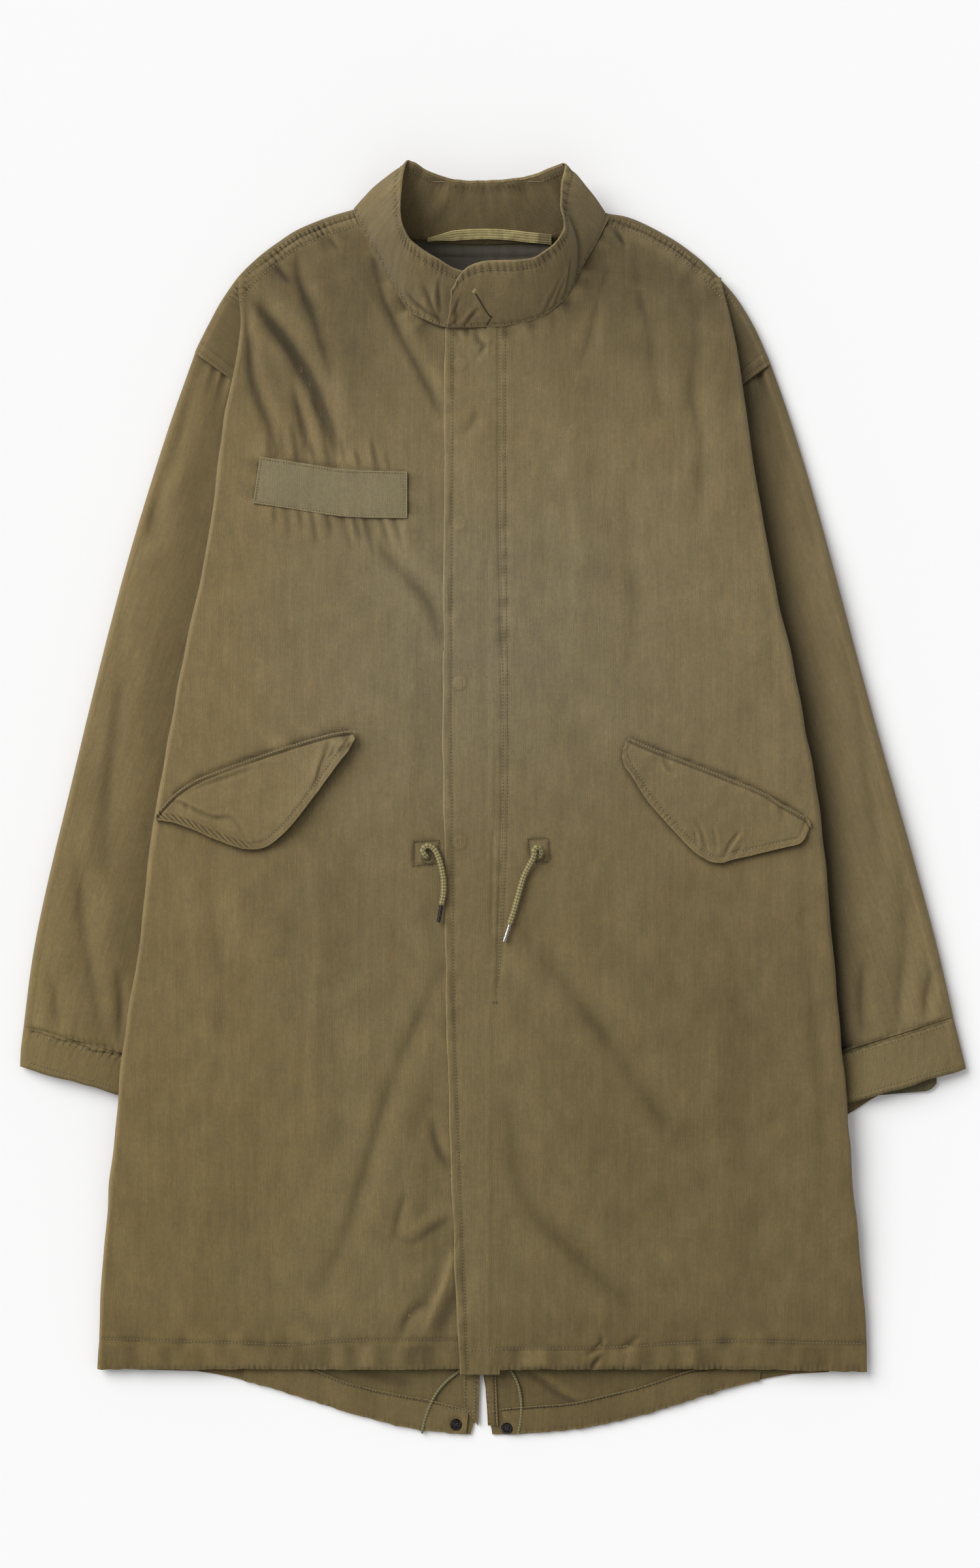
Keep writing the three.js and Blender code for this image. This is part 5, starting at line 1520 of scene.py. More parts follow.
def back_sheet():
    points, corners = SURFACES["back"]
    mesh = bmesh.new()
    verts = [mesh.verts.new(point) for point in points]
    for corner in corners:
        try:
            mesh.faces.new([verts[k] for k in corner])
        except ValueError:
            continue
    bmesh.ops.remove_doubles(mesh, verts=mesh.verts, dist=1e-3)
    everything = mesh.verts[:] + mesh.edges[:] + mesh.faces[:]
    cut = bmesh.ops.bisect_plane(
        mesh, geom=everything, plane_co=(0, 0, BACK_TOP + 0.05), plane_no=(0, 0, 1), clear_outer=True
    )
    rim = [item for item in cut["geom_cut"] if isinstance(item, bmesh.types.BMEdge)]
    bmesh.ops.holes_fill(mesh, edges=[edge for edge in rim if edge.is_boundary], sides=0)
    planes = [((0, y, 0), (0, 1, 0)) for y in [*np.arange(-543, TAIL_Y, 3.0), *np.arange(TAIL_Y, 480, 24.0)]]
    planes += [((x, 0, 0), (1, 0, 0)) for x in np.arange(-312, 300, 6.0)]
    for place, normal in planes:
        everything = mesh.verts[:] + mesh.edges[:] + mesh.faces[:]
        bmesh.ops.bisect_plane(mesh, geom=everything, plane_co=place, plane_no=normal)
    bmesh.ops.dissolve_degenerate(mesh, dist=1e-4, edges=mesh.edges)
    bmesh.ops.triangulate(mesh, faces=[face for face in mesh.faces if len(face.verts) > 4])
    bmesh.ops.recalc_face_normals(mesh, faces=mesh.faces)
    mesh.verts.index_update()
    place = np.array([vert.co[:] for vert in mesh.verts])
    faces = [[vert.index for vert in face.verts] for face in mesh.faces]
    mesh.free()
    x = place[:, 0]
    y = place[:, 1]
    top = np.clip(place[:, 2] / BACK_TOP, 0, 1)
    field = np.zeros((2, x.size))
    for line in TAIL_HEMS:
        seam(field, x, y, line, pucker=0.3, wave=8, reach=8, groove=0.2, seed=153)
    crease(field, x, y, 3.0, 1.4, [(31, -492), (47, -503), (62, -513), (72, -516)])
    crease(field, x, y, 5.0, 1.0, [(150, -489), (178, -487), (200, -484)])
    crease(field, x, y, 5.0, 1.0, [(-120, -489), (-96, -495), (-74, -500)])
    near_edge = bell(y - tail_line(x), 5.0) * (y < -480)
    beads = ticks(x, 5.2, 159) * near_edge
    detail = 0.15 * noise(x, y, 9, 12, 155) + field[0] - 0.5 * beads
    # Painted shade in the dents along the tail's edge.
    field[1] -= 0.12 * beads
    place[:, 2] += tail_lift(x, y) + top * np.clip(detail + 0.2, 0, 1) * ease((TAIL_Y - y) / 30)
    # A pale worn edge with a painted highlight along the tail's edge, and painted light and shade following
    # the cloth's small heights.
    edge = bell(y - tail_line(x), 2.0) * (y < -480)
    dye = dyed_and_shaded(x, y, 0.16 * edge + np.clip(detail * 0.15, -0.15, 0.15) + field[1] - 0.06)
    place[:, 1] -= tail_drop(x) * ease((TAIL_Y - 10 - y) / 50)
    grain = np.stack([x, y, 0 * x], -1)
    return add_mesh("cloth_back", place, faces, SHELL, {"dye": dye, "grain": grain}, sharp=60, node="back")


TAIL_PLACES = np.linspace(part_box("back")[0][0] / MM + 1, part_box("back")[1][0] / MM - 1, 300)
TAIL_EDGE = np.array([cut_at_x("back", x)[:, 1].min() for x in TAIL_PLACES])


def tail_line(x):
    """Lower edge of the back."""
    return np.interp(x, TAIL_PLACES, TAIL_EDGE)


def tail_drop(x):
    """How much lower the worn edge hangs than the cut one."""
    return np.interp(x, (-150, -60, -8, 30, 120, 240), (0.8, 2.6, 1.2, 1.6, 4.4, 3.6))


def tail_band(name, top_line, low_line, seed):
    """A turned and stitched hem of the tail between two plan lines, each from its outer to its inner end."""
    top_line = curve(top_line, 1)
    low_line = curve(low_line, 1)
    share = np.linspace(0, 1, 2 * (len(low_line) // 2) + 1)
    up = graded(26, 0, 20, [(0, 5, 1.0), (16, 20, 1.0)])[:, None]
    over = low_line[-1] - low_line[0]
    rise = top_line[0] - low_line[0]
    out = 1 if rise[0] * over[1] - rise[1] * over[0] > 0 else -1

    def along(line, axis):
        return np.interp(share, np.linspace(0, 1, len(line)), line[:, axis])[None, :]

    x = lerp(along(low_line, 0), along(top_line, 0), up)
    y = lerp(along(low_line, 1), along(top_line, 1), up)
    run = share[None, :] * len(low_line) + 0 * up
    width = np.hypot(x[-1] - x[0], y[-1] - y[0])[None, :]
    from_low = up * width
    from_top = (1 - up) * width
    tree = TREES["cloth_back"]
    missed = Vector((0, 0, 0.0016))
    hits = np.array([dropped(tree, px, py)[0] or missed for px, py in zip(x.ravel(), y.ravel())])
    ground = blurred(hits[:, 2].reshape(x.shape) / MM, 1)
    beads = ticks(run, 4.8, seed) * bell(from_low, 4)
    pulls = ticks(run + 0.3 * from_top, 5.2, seed + 2) * bell(from_top, 4)
    swell = ripple(run, 9, seed + 4) * ease(from_low / 4) * ease(from_top / 4)
    row = bell(from_top - 1.8, 0.9)
    z = ground + 0.75 + 0.35 * swell - 0.45 * beads - 0.4 * pulls - 0.35 * row
    z = z + 0.1 * noise(x, y, 5, 6, seed + 6)
    for node in ("snap_right", "snap_left"):
        middle = (np.array(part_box(node)[0]) + np.array(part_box(node)[1])) / 2 / MM
        pressed = bell(np.hypot(x - middle[0], y - middle[1]), 6.6, 8)
        z = lerp(z, ground - 0.25, pressed)
    y = y - 0.4 * ripple(run, 3.4, seed + 8) * bell(from_low, 5)
    # Painted shade in the beads, the pulls and the stitched row, painted highlights along both folded edges,
    # and painted light on the swell.
    tone = 0.05 * swell - 0.34 * beads - 0.26 * pulls - 0.5 * row
    tone = tone + 0.3 * bell(from_top, 0.9) + 0.2 * bell(from_low, 1.2)
    grid = rounded_edges(np.stack([x, y, z], -1), 0.8, ("top", "bottom"), out=out)
    dye = dyed_and_shaded(x, y, tone)
    return shell(name, grid, 0.6, SHELL, dye, grain_of(grid), every=2, out=out)


def tail_bands():
    right_low = [(px, tail_line(px) - tail_drop(px)) for px in (-215, -190, -155, -129, -100, -70, -45, -24)]
    left_low = [(px, tail_line(px) - tail_drop(px)) for px in (228, 205, 182, 160, 130, 100, 70, 40, 10)]
    right_top = [(-215, -474), (-185, -479), *[(px, py + 1.8) for px, py in TAIL_HEMS[0]]]
    left_top = [
        (232, -474), (210, -479), (189, -487), (165, -491), (128.4, -503.5), (96.4, -511.5), (66.6, -518.3),
        (36, -521), (6, -523.5),
    ]
    return [
        tail_band("hem_tail_right", right_top, right_low, 301),
        tail_band("hem_tail_left", left_top, left_low, 321),
        tail_band("facing_tail_right", [(-26, -490), (-26, -524)], [(-12.6, -490), (-13.6, -538)], 341),
        tail_band("facing_tail_left", [(3.4, -538), (1.4, -490)], [(-5.4, -538), (-8.2, -490)], 361),
    ]


# Rows of stitches above the tail's edge.
TAIL_HEMS = [
    [(-155, -490.7), (-129, -501.4), (-90.7, -511), (-56.4, -517.4), (-22, -526)],
    [(34.6, -522), (66.6, -519.8), (96.4, -513), (128.4, -505), (165, -492.4), (181, -489)],
]


def shoulder_wrap(half):
    name = half.name
    pivot = np.array(WRAP_PIVOTS[name])
    shares = lerp(NECK_LAP, SLEEVE_LAP, spaced(276, (0.002, 0.005)))
    turns, outer, inner = wrap_rays(name, shares)
    share = shares[:, None]
    roll = (np.arange(0, 15) / 14)[None, :]
    run = np.linspace(0, 1, 47)[None, 1:]
    flat = np.hstack([outer - 16, outer - 8])
    radius = np.hstack([flat, outer - ROLL * (1 - np.sin(np.pi * roll)), lerp(outer - ROLL, inner, run)])
    rolled = 0.1 + (WRAP_TOP - 0.1) / 2 * (1 - np.cos(np.pi * roll)) + 0 * outer
    height = np.hstack([0.1 + 0 * flat, rolled, WRAP_TOP + 0 * outer * run])
    x = pivot[0] + np.cos(turns) * radius
    y = pivot[1] + np.sin(turns) * radius
    inward = outer - radius
    length = share * WRAP_LENGTH
    end = (SLEEVE_LAP - share) * WRAP_LENGTH
    upper = np.concatenate([np.zeros(8), ease(np.linspace(0, 1, 9)), np.ones(46)])[None, :]
    relief = 0.5 * noise(length, inward, 16, 22, 161 + half.sign) + 0.1 * noise(x, y, 7, 7, 163)
    gathered, gathered_tone = shoulder_gathers(half, x, y)
    relief = relief + gathered + 1.2 * bell(end, 60) * ease(inward / 12)
    puckers = noise(inward, 0 * length, 6, 50, 167 + half.sign)
    band = ease((12.5 - end) / 1.5)
    rows = sum(bell(end - row, 1.1) for row in (4.2, 11.6))
    relief = relief + 0.9 * band + 0.5 * puckers * bell(end - 8, 7) - 0.5 * rows
    grid = np.stack([x, y, height + upper * relief], -1)
    shade = wear_and_hollow_shade(grid[:, :, 2] * upper, 3, 0.14) * (inward > 4)
    # Pale worn edges with a painted highlight along the roll, the armhole end and the edge of the seam band.
    rim = bell(inward - 1.5, 2.5) * (upper > 0) + bell(end, 1.3)
    rim = rim + 0.6 * bell(end - 12.6, 0.9)
    # Painted shadow of the body on the wrap; painted light and shade on the puckers, and painted shade in
    # the stitch rows.
    gap = np.clip(half.sign * x - half.edge(y), 0, None)
    shaded = (0.34 if half.sign > 0 else 0.05) * bell(gap, 21, 1.5) * ease((430 - y) / 40)
    tone = gathered_tone - shaded + 0.05 * puckers * bell(end - 8, 7) - 0.13 * rows
    dye = dyed_and_shaded(x, y, shade + 0.12 * rim + upper * tone)
    grain = np.stack([length + 0 * radius, radius, 0 * radius], -1)
    grid = rounded_edges(grid, 1.2, ("top",), out=half.sign)
    return shell(f"cloth_shoulder_{name}", grid, CLOTH, SHELL, dye, grain, every=2, out=half.sign)


# ---- Collar and what is inside the neck ----

# From the overlapping end at the front, round the left side and the back, to the end that lies underneath:
# the foot is on the neckline, and the rim is the upper edge. Columns: foot x, y, z, rim x, y, z.
COLLAR = [
    (-41.2, 402.4, 26.6, -36, 432, 46),
    (-28, 402.4, 26.4, -26, 448.5, 52),
    (-11, 402.4, 26.4, -12, 455.5, 54.2),
    (6, 402.8, 26.2, 7.6, 457, 54.6),
    (24, 405.8, 25.6, 23.8, 457.4, 54),
    (42.5, 412, 25, 35.5, 460, 53),
    (54.9, 421.4, 24, 47, 467.5, 53),
    (64.6, 431.8, 23, 55.5, 476, 53.5),
    (75, 453.2, 21, 60, 488.5, 54),
    (86.6, 473, 18.8, 58, 503.5, 53),
    (96.2, 491.8, 16, 58, 524, 49),
    (98.6, 499.5, 12, 61, 540.5, 43),
    (87, 492.4, 5.5, 52.5, 540, 38),
    (63.6, 483.4, 2.8, 35.5, 533.8, 33),
    (30, 479, 2.2, 15.5, 530, 30),
    (-7, 477.3, 2, -10.5, 528.4, 29),
    (-43, 478.4, 2.2, -33.3, 529.5, 31),
    (-73.6, 482.3, 2.8, -54, 535.6, 34),
    (-101.6, 492.4, 5.5, -69, 543, 39),
    (-120.4, 506, 12, -75.5, 542.5, 43),
    (-116, 491.6, 16.2, -79, 523, 50),
    (-103, 468.2, 19, -81, 499.5, 53.5),
    (-88, 441.6, 21.6, -76, 480.5, 53.5),
    (-74.6, 418.8, 23.8, -63, 468.5, 51.5),
    (-62.8, 410.6, 23.9, -48.5, 459, 49.6),
    (-41, 402.6, 23.2, -34, 450.5, 48),
    (-12, 402.4, 23, -14, 446, 47.4),
]
COLLAR_BULGE = 3


def collar_grid(up_shares, spacing=1.5):
    """Points of the collar's outer face, run lengths along its foot, and shares up it."""
    line = curve(COLLAR, spacing)
    every = 2
    line = line[: (len(line) - 1) // every * every + 1]
    foot = line[:, :3]
    rim = line[:, 3:]
    along = np.gradient(foot[:, :2], axis=0)
    along = unit(np.stack([smooth(along[:, 0], 3), smooth(along[:, 1], 3)], -1))
    outward = np.stack([along[:, 1], -along[:, 0], 0 * along[:, 0]], -1)
    run = runs(foot)
    up = up_shares[:, None, None]
    front_part = ease((foot[:, 2] - 8) / 6)[None, :, None]
    grid = lerp(foot[None], rim[None], up) + COLLAR_BULGE * 4 * up * (1 - up) * front_part * outward[None]
    return grid, run[None, :] + 0 * up_shares[:, None], up_shares[:, None] + 0 * run[None, :]


def collar_relief(run, up):
    """Heights over the collar's smooth face, and tones of painted light and shade."""
    height = 52.0
    foot = up * height
    rim = (1 - up) * height
    marks = np.zeros((2, *run.shape))
    for width, depth, points in COLLAR_CREASES:
        crease(marks, run, foot, width, 0.5 * depth, points)
    field = marks[0]
    field = field + 1.0 * noise(run, foot, 30, 40, 171) + 0.4 * noise(run, foot, 12, 26, 172)
    field = field + 0.15 * noise(run, foot, 5, 8, 173)
    at_foot = ticks(run + 0.4 * foot, 6.6, 174) * bell(foot, 7)
    at_rim = ticks(run - 0.3 * rim, 5.6, 175) * bell(rim - 5, 4.5)
    swell = ripple(run, 9, 176) * bell(np.abs(rim - 6), 12)
    rows = bell(foot - 3.2, 1.0) + bell(rim - 6, 1.0)
    field = field + 0.7 * swell - 0.6 * at_foot - 0.9 * at_rim - 0.5 * rows
    # Painted shade between the puckers at foot and rim and in the stitch rows, painted light on the swell.
    tone = marks[1] - 0.14 * at_foot - 0.22 * at_rim - 0.08 * rows + 0.03 * swell
    # Painted shadow along the collar's side fold, with painted light beyond it; painted shade on the
    # collar's right side and near the end that lies underneath.
    fold = run - 128 - 0.75 * foot
    tone = tone - 0.26 * bell(fold, 7) * ease((46 - foot) / 10) + 0.04 * ease(fold / 12) * (run < 200)
    tone = tone - 0.1 * bell(run - 490, 50) - 0.16 * bell(run - 556, 9)
    return field * ease(foot / 3) * ease(rim / 2.0), tone


# Creases of the collar, over lengths along its foot from the overlapping end and heights above the foot.
COLLAR_CREASES = [
    (2.2, 1.5, [(6, 5), (9, 13), (6, 22), (9, 31)]),
    (2.0, 1.2, [(16, 2), (20, 10), (27, 17)]),
    (2.6, 1.0, [(84, 3), (92, 12), (104, 22)]),
    (2.2, 1.0, [(96, 3), (102, 12), (112, 20)]),
    (2.6, 1.0, [(108, 4), (114, 14), (122, 26)]),
    (6.0, 1.8, [(162, 44), (154, 32), (142, 18), (129, 3)]),
    (6.0, 0.9, [(218, 50), (222, 32), (230, 14)]),
    (6.0, 1.0, [(342, 50), (346, 34), (356, 16)]),
    (6.0, 0.9, [(304, 50), (307, 34), (304, 14)]),
    (6.0, 0.7, [(500, 48), (494, 30), (500, 8)]),
    (3.2, 2.0, [(560, 3), (550, 14), (538, 27)]),
    (2.8, 1.8, [(560, 6), (546, 8), (526, 12)]),
    (2.6, 1.4, [(558, 12), (554, 24), (550, 36)]),
]


def collar():
    up = spaced(44, (0.012, 0.03))
    grid, run, ups = collar_grid(up, 1.1)
    normal = face_normals(grid)
    relief, tone = collar_relief(run, ups)
    grid = rounded_edges(grid + relief[:, :, None] * normal, 1.5, ("top", "bottom", "left", "right"))
    shade = wear_and_hollow_shade(relief, 4) + tone
    # A pale worn edge with a painted highlight along the rim and the overlapping end.
    rim = bell((1 - ups) * 52, 2.0) + 0.7 * bell(run, 2.0)
    dye = dyed_and_shaded(500 + 0 * ups, 300 + 0 * ups, shade + 0.13 * np.clip(rim, 0, 1) - 0.01)
    grain = np.stack([run, ups * 52, 0 * run], -1)
    return shell("cloth_collar", grid, COLLAR_WALL, SHELL, dye, grain, every=2, node="collar")


def lining():
    low, high = box_of("back_lining")
    middle = (low[0] + high[0]) / 2
    half_width = (high[0] - low[0]) / 2
    t = np.linspace(-1, 1, 97)[None, :]
    up = np.linspace(0, 1, 49)[:, None]
    x = middle + half_width * t + 0 * up
    y = lerp(low[1], high[1] - 9 + 9 * t**2, up)
    z = high[2] + 0.25 * noise(x, y, 22, 22, 181)
    z = z + 0.5 * bell(y - 470.5, 2.6) - 0.3 * bell(y - 467, 1.1)
    z = z + 0.4 * bell(x + 1, 2.2) * (y < 468)
    z = z + 0.35 * noise(x, y, 6, 14, 182) * np.exp(-np.abs(y - 468) / 9)
    grid = np.stack([x, y, np.clip(z, high[2] - 0.3, None)], -1)
    # Painted shade in the seams' grooves.
    lines = bell(y - 467, 0.9) + 0.8 * bell(x - 1.7, 1.0) * (y < 467)
    dye = np.repeat((1.06 + wear_and_hollow_shade(z, 3, 0.2) - 0.4 * lines)[:, :, None], 3, 2)
    return shell(
        "cloth_lining", grid, THIN, LINING, dye, grain_of(grid), every=4, node="back_lining",
        slot="lining_cloth",
    )


def hanger_loop():
    low, high = box_of("hanger_loop")
    half_length = (high[0] - low[0]) / 2
    centre = (low[0] + high[0]) / 2
    bow = 4.6
    width = high[1] - low[1] - bow
    reach = np.linspace(-1, 1, 121)[None, :]
    across = np.linspace(0, 1, 21)[:, None]
    narrow = 0.35 + 0.65 * ease((reach + 1) / 0.5)
    y = low[1] + bow * (1 - reach**2) + width * (1 - narrow) / 2 + across * width * narrow
    x = centre + half_length * reach + 9 * ease((reach - 0.7) / 0.3) + 0 * across
    middle = COLLAR[15]
    rise = (middle[5] - middle[2]) / (middle[4] - middle[1])
    top = high[2] - (high[1] - y) * rise
    ribs = 0.35 * np.abs(np.cos(np.pi * 4 * across)) + 0.1 * noise(x, y, 3, 3, 185)
    ends = 0.35 * bell(np.abs(reach) - 0.86, 0.012) + 0.35 * bell(np.abs(reach) - 0.97, 0.012)
    z = top - 0.35 + ribs - ends
    tacked = 1 - 0.5 * ease((reach - 0.84) / 0.03)
    # Painted light on the ribs and painted shade between them; the tacked end is darker.
    dye = np.repeat(((0.7 + 0.8 * ribs) * tacked)[:, :, None], 3, 2)
    grid = rounded_edges(np.stack([x, y, z], -1), 0.6, ("top", "bottom"))
    return shell(
        "cloth_hanger_loop", grid, 1.5, LOOP_TAPE, dye, grain_of(grid), every=4, node="hanger_loop",
        slot="loop_tape",
    )


# ---- Pieces sewn on the fronts ----

FLAP_STITCH = 5.6  # from the free edge

# Creases of the flaps, over distances along and depths below their lines, as the creases of the fronts.
FLAP_CREASES = {
    "right": [
        (1.8, 0.8, [(163, 4), (155, 11), (142, 25), (130, 33)]),
        (2.4, 0.5, [(134, 30), (124, 34), (119, 45), (118, 54)]),
        (1.6, 0.5, [(156, 9), (155.6, 16)]),
        (2.6, 0.7, [(158, 1), (136, -0.4), (110, 0.6), (94, 1.6)]),
        (2.6, 1.0, [(47, 36), (29, 13), (21, 2)]),
        (2.2, 0.9, [(33, 24), (20, 10)]),
        (3.0, -0.7, [(150, 22), (134, 38), (127, 46)]),
    ],
    "left": [
        (1.6, 0.8, [(116.3, 60), (116.6, 50), (119.5, 37)]),
        (1.5, 0.45, [(109, 62), (102, 48), (96, 41)]),
        (1.5, 0.4, [(101, 63), (91, 51), (81, 42)]),
        (1.4, 0.4, [(91, 61), (85, 53)]),
        (1.5, 0.4, [(124, 56), (126, 48)]),
        (1.8, 0.9, [(6, 22), (16, 26), (24, 30)]),
        (2.0, 0.8, [(35, 3), (40, 10), (48, 14)]),
        (3.0, 0.6, [(142, 4), (150, 9)]),
    ],
}


def flap_surface(half, along, down, x, y):
    """Height and tone of a pocket flap, at distances along its line and depths below it."""
    sign = half.sign
    low = flap_low(half, along)
    steepness = np.gradient(low, axis=1) / np.gradient(along, axis=1)
    edge = (low - down) / np.sqrt(1 + steepness**2)
    edge = np.minimum(edge, FLAP_LENGTHS[half.name] - along)
    edge = np.minimum(edge, along + 2)
    below = down - flap_top(half, along)
    marks = np.zeros((2, *along.shape))
    for width, depth, points in FLAP_CREASES[half.name]:
        crease(marks, along, down, width, depth, points)
    field = marks[0] + 0.8 * noise(along, down, 34, 22, 191 + sign) + 0.2 * noise(along, down, 7, 7, 193)
    tone = marks[1]
    run = along + 0.3 * down
    puckers = ticks(run, 4.6, 195 + sign) * bell(edge - 3, 3.2)
    inner_puckers = ripple(run, 6, 197 + sign)
    field = field + 0.5 * inner_puckers * (bell(edge - 7, 5) + bell(below - 6, 6))
    row = bell(edge - FLAP_STITCH, 1.1)
    welt = bell(below - 1.7, 1.2)
    under_welt = bell(below - 4.1, 0.9)
    field = field + 0.7 * welt - 1.1 * under_welt - 0.9 * bell(below + 0.3, 1.1) - 0.5 * row
    # Painted shade under the welt, in the stitch row and between the welt's ticks.
    tone = tone - 0.26 * under_welt - 0.1 * row - 0.1 * ticks(run, 2.6, 199) * welt
    if sign < 0:
        stand = 5.0 * bell(edge, 18) * ease((112 - along) / 30) + 2.0 * ease(below / 30)
        rope = bell(edge - 3.6, 3.0) * ease((along - 110) / 10)
        strand = 2 * np.pi * (along - 0.9 * edge) / 5.0 + 1.5 * ripple(along, 14, 192)
        field = field + rope * (0.9 + 0.9 * np.cos(strand))
        # Painted shade in the rope's twist, a little lighter over it.
        tone = tone - 0.6 * rope * np.exp(-1.6 * (1 + np.cos(strand))) + 0.1 * rope
        corner = bell(along - 5, 15) * bell(below - 9, 13)
        crumple = noise(along, down, 4.5, 4, 190)
        field = field + corner * (2.6 + 1.3 * crumple)
        # Painted light and shade on the crumpled corner, and painted shade in its fold.
        tone = tone + 0.14 * corner * np.clip(crumple, -1.5, 0.8) - 0.12 * corner * bell(along - 17, 3)
        field = field - 0.4 * puckers * ease((100 - along) / 20)
    else:
        stand = 2.2 * bell(edge, 14) * ease((below - 4) / 16)
        pulled = ease((104 - along) / 16) + 0.45 * ease((along - 104) / 12)
        field = field - 0.6 * puckers * pulled
        # Painted shade between the puckers.
        tone = tone - 0.12 * puckers * pulled
    base = half.height(x, y) + drape(x, y) - dip_under_fly(x)
    return base + 0.6 + DOUBLE + stand + np.clip(field, -1.8, None), tone, edge


def flap(half):
    origin, way, down_way = outline_of_flap(half)
    along = lerp(0, FLAP_LENGTHS[half.name], spaced(204, (0.002, 0.005)))[None, :]
    share = graded(64, 0, 1, [(0, 0.11, 1.6), (0.84, 1, 0.8)])[:, None]
    down = lerp(flap_top(half, along), flap_low(half, along), share)
    along = along + 0 * down
    x = origin[0] + way[0] * along + down_way[0] * down
    y = origin[1] + way[1] * along + down_way[1] * down
    z, tone, edge = flap_surface(half, along, down, x, y)
    shade = wear_and_hollow_shade(z - front_height(x, y), 3, 0.16)
    # A pale worn edge with a painted highlight along the free edge.
    dye = dyed_and_shaded(x, y, shade + tone + 0.16 * bell(edge, 1.4))
    grid = rounded_edges(np.stack([x, y, z], -1), 1.6, ("bottom", "left", "right"), out=-half.sign)
    return shell(
        f"cloth_flap_{half.name}", grid, DOUBLE, SHELL, dye, grain_of(grid), every=4, out=-half.sign,
        node=f"pocket_flap_{half.name}",
    )


def name_tape():
    low, high = box_of("name_tape")
    places = np.linspace(low[0] + 6.5, high[0] - 0.5, 40)
    tops = [cut_at_x("name_tape", x)[:, 1].max() for x in places]
    depth = 40
    slant = 5.5
    t = spaced(80, (0.003, 0.008))[None, :]
    down = spaced(28, (0.012, 0.03))[:, None]
    top_x = lerp(low[0] + slant, high[0], t)
    x = top_x - slant * down * (1 - t)
    y = np.interp(top_x, places, smooth(np.array(tops), 3)) - depth * down
    edge = np.minimum(np.minimum(down, 1 - down) * depth, np.minimum(t, 1 - t) * (high[0] - low[0]))
    field = 0.25 * noise(x, y, 22, 16, 201) + 0.35 * ripple(x, 6, 202) * np.exp(-edge / 5)
    field = field - 0.3 * bell(edge - 2.2, 0.7) + 0.3 * bell(edge, 1.2)
    z = front_height(x, y) + drape(x, y) + THIN + 0.55 + field
    # A pale worn edge with a painted highlight along the tape's raised border.
    dye = np.repeat((1 + wear_and_hollow_shade(field, 3, 0.25) + 0.16 * bell(edge, 1.3))[:, :, None], 3, 2)
    grid = rounded_edges(np.stack([x, y, z], -1), 0.6, ("top", "bottom", "left", "right"), out=-1)
    return shell(
        "cloth_name_tape", grid, THIN, TAPE, dye, grain_of(grid), every=4, out=-1, node="name_tape",
        slot="tape_cloth",
    )


def cuff_tab():
    """The end of the adjusting tab, between the layers of the left cuff."""
    low, high = box_of("cuff_tab_left")
    width = 22
    slope = 0.085
    t = np.linspace(0, 1, 61)[None, :]
    across = np.linspace(-0.5, 0.5, 25)[:, None]
    past = np.clip((t - 0.82) / 0.18, 0, 1)
    x = lerp(low[0], high[0], t) + 0 * across
    y = low[1] + width / 2 + slope * (x - low[0]) + across * width * np.sqrt(1 - 0.8 * past**2)
    z = high[2] + 0.2 * noise(x, y, 12, 12, 221)
    grid = np.stack([x, y, z], -1)
    dye = dyed_and_shaded(x, y, -0.25 + wear_and_hollow_shade(z)) * np.array([0.8, 0.9, 1.12])
    return shell("cloth_cuff_tab", grid, THIN, SHELL, dye, grain_of(grid), every=4, node="cuff_tab_left")


# ---- Threads ----

STITCH = 2.9  # pitch
SHAPE_OF_STITCH = [
    (-1, 0, -0.2), (-0.6, -1, 0), (-0.6, 0, 1), (-0.6, 1, 0), (0.6, -1, 0), (0.6, 0, 1), (0.6, 1, 0),
    (1, 0, -0.2),
]
FACES_OF_STITCH = [
    (0, 2, 1), (0, 3, 2), (0, 1, 3), (1, 2, 5, 4), (2, 3, 6, 5), (3, 1, 4, 6), (7, 4, 5), (7, 5, 6),
    (7, 6, 4),
]


def dropped(tree, x, y):
    """Where an upright ray from above meets a piece, in metres, and the normal there."""
    return tree.ray_cast(Vector((x * MM, y * MM, 1)), Vector((0, 0, -1)))[:2]


def placed_on(piece, line, spacing=STITCH):
    """Points and normals where a plan line, stepped evenly, lies on a piece, or on a hem over it."""
    line = curve([(px, py, 0) for px, py in line], 0.5)
    run = runs(line)
    at = np.arange(spacing / 2, run[-1], spacing)
    places = np.stack([np.interp(at, run, line[:, 0]), np.interp(at, run, line[:, 1])], -1)
    found = []
    trees = [TREES[name] for name in [piece.name, *OVER.get(piece.name, [])]]
    for px, py in places:
        hits = [dropped(tree, px, py) for tree in trees]
        hits = [(hit.z, hit, normal) for hit, normal in hits if hit is not None]
        if hits:
            _, hit, normal = max(hits, key=lambda item: item[0])
            found.append((np.array(hit) / MM, np.array(normal)))
    return found


def tree_of(piece):
    data = piece.data
    return BVHTree.FromPolygons([v.co for v in data.vertices], [tuple(p.vertices) for p in data.polygons])


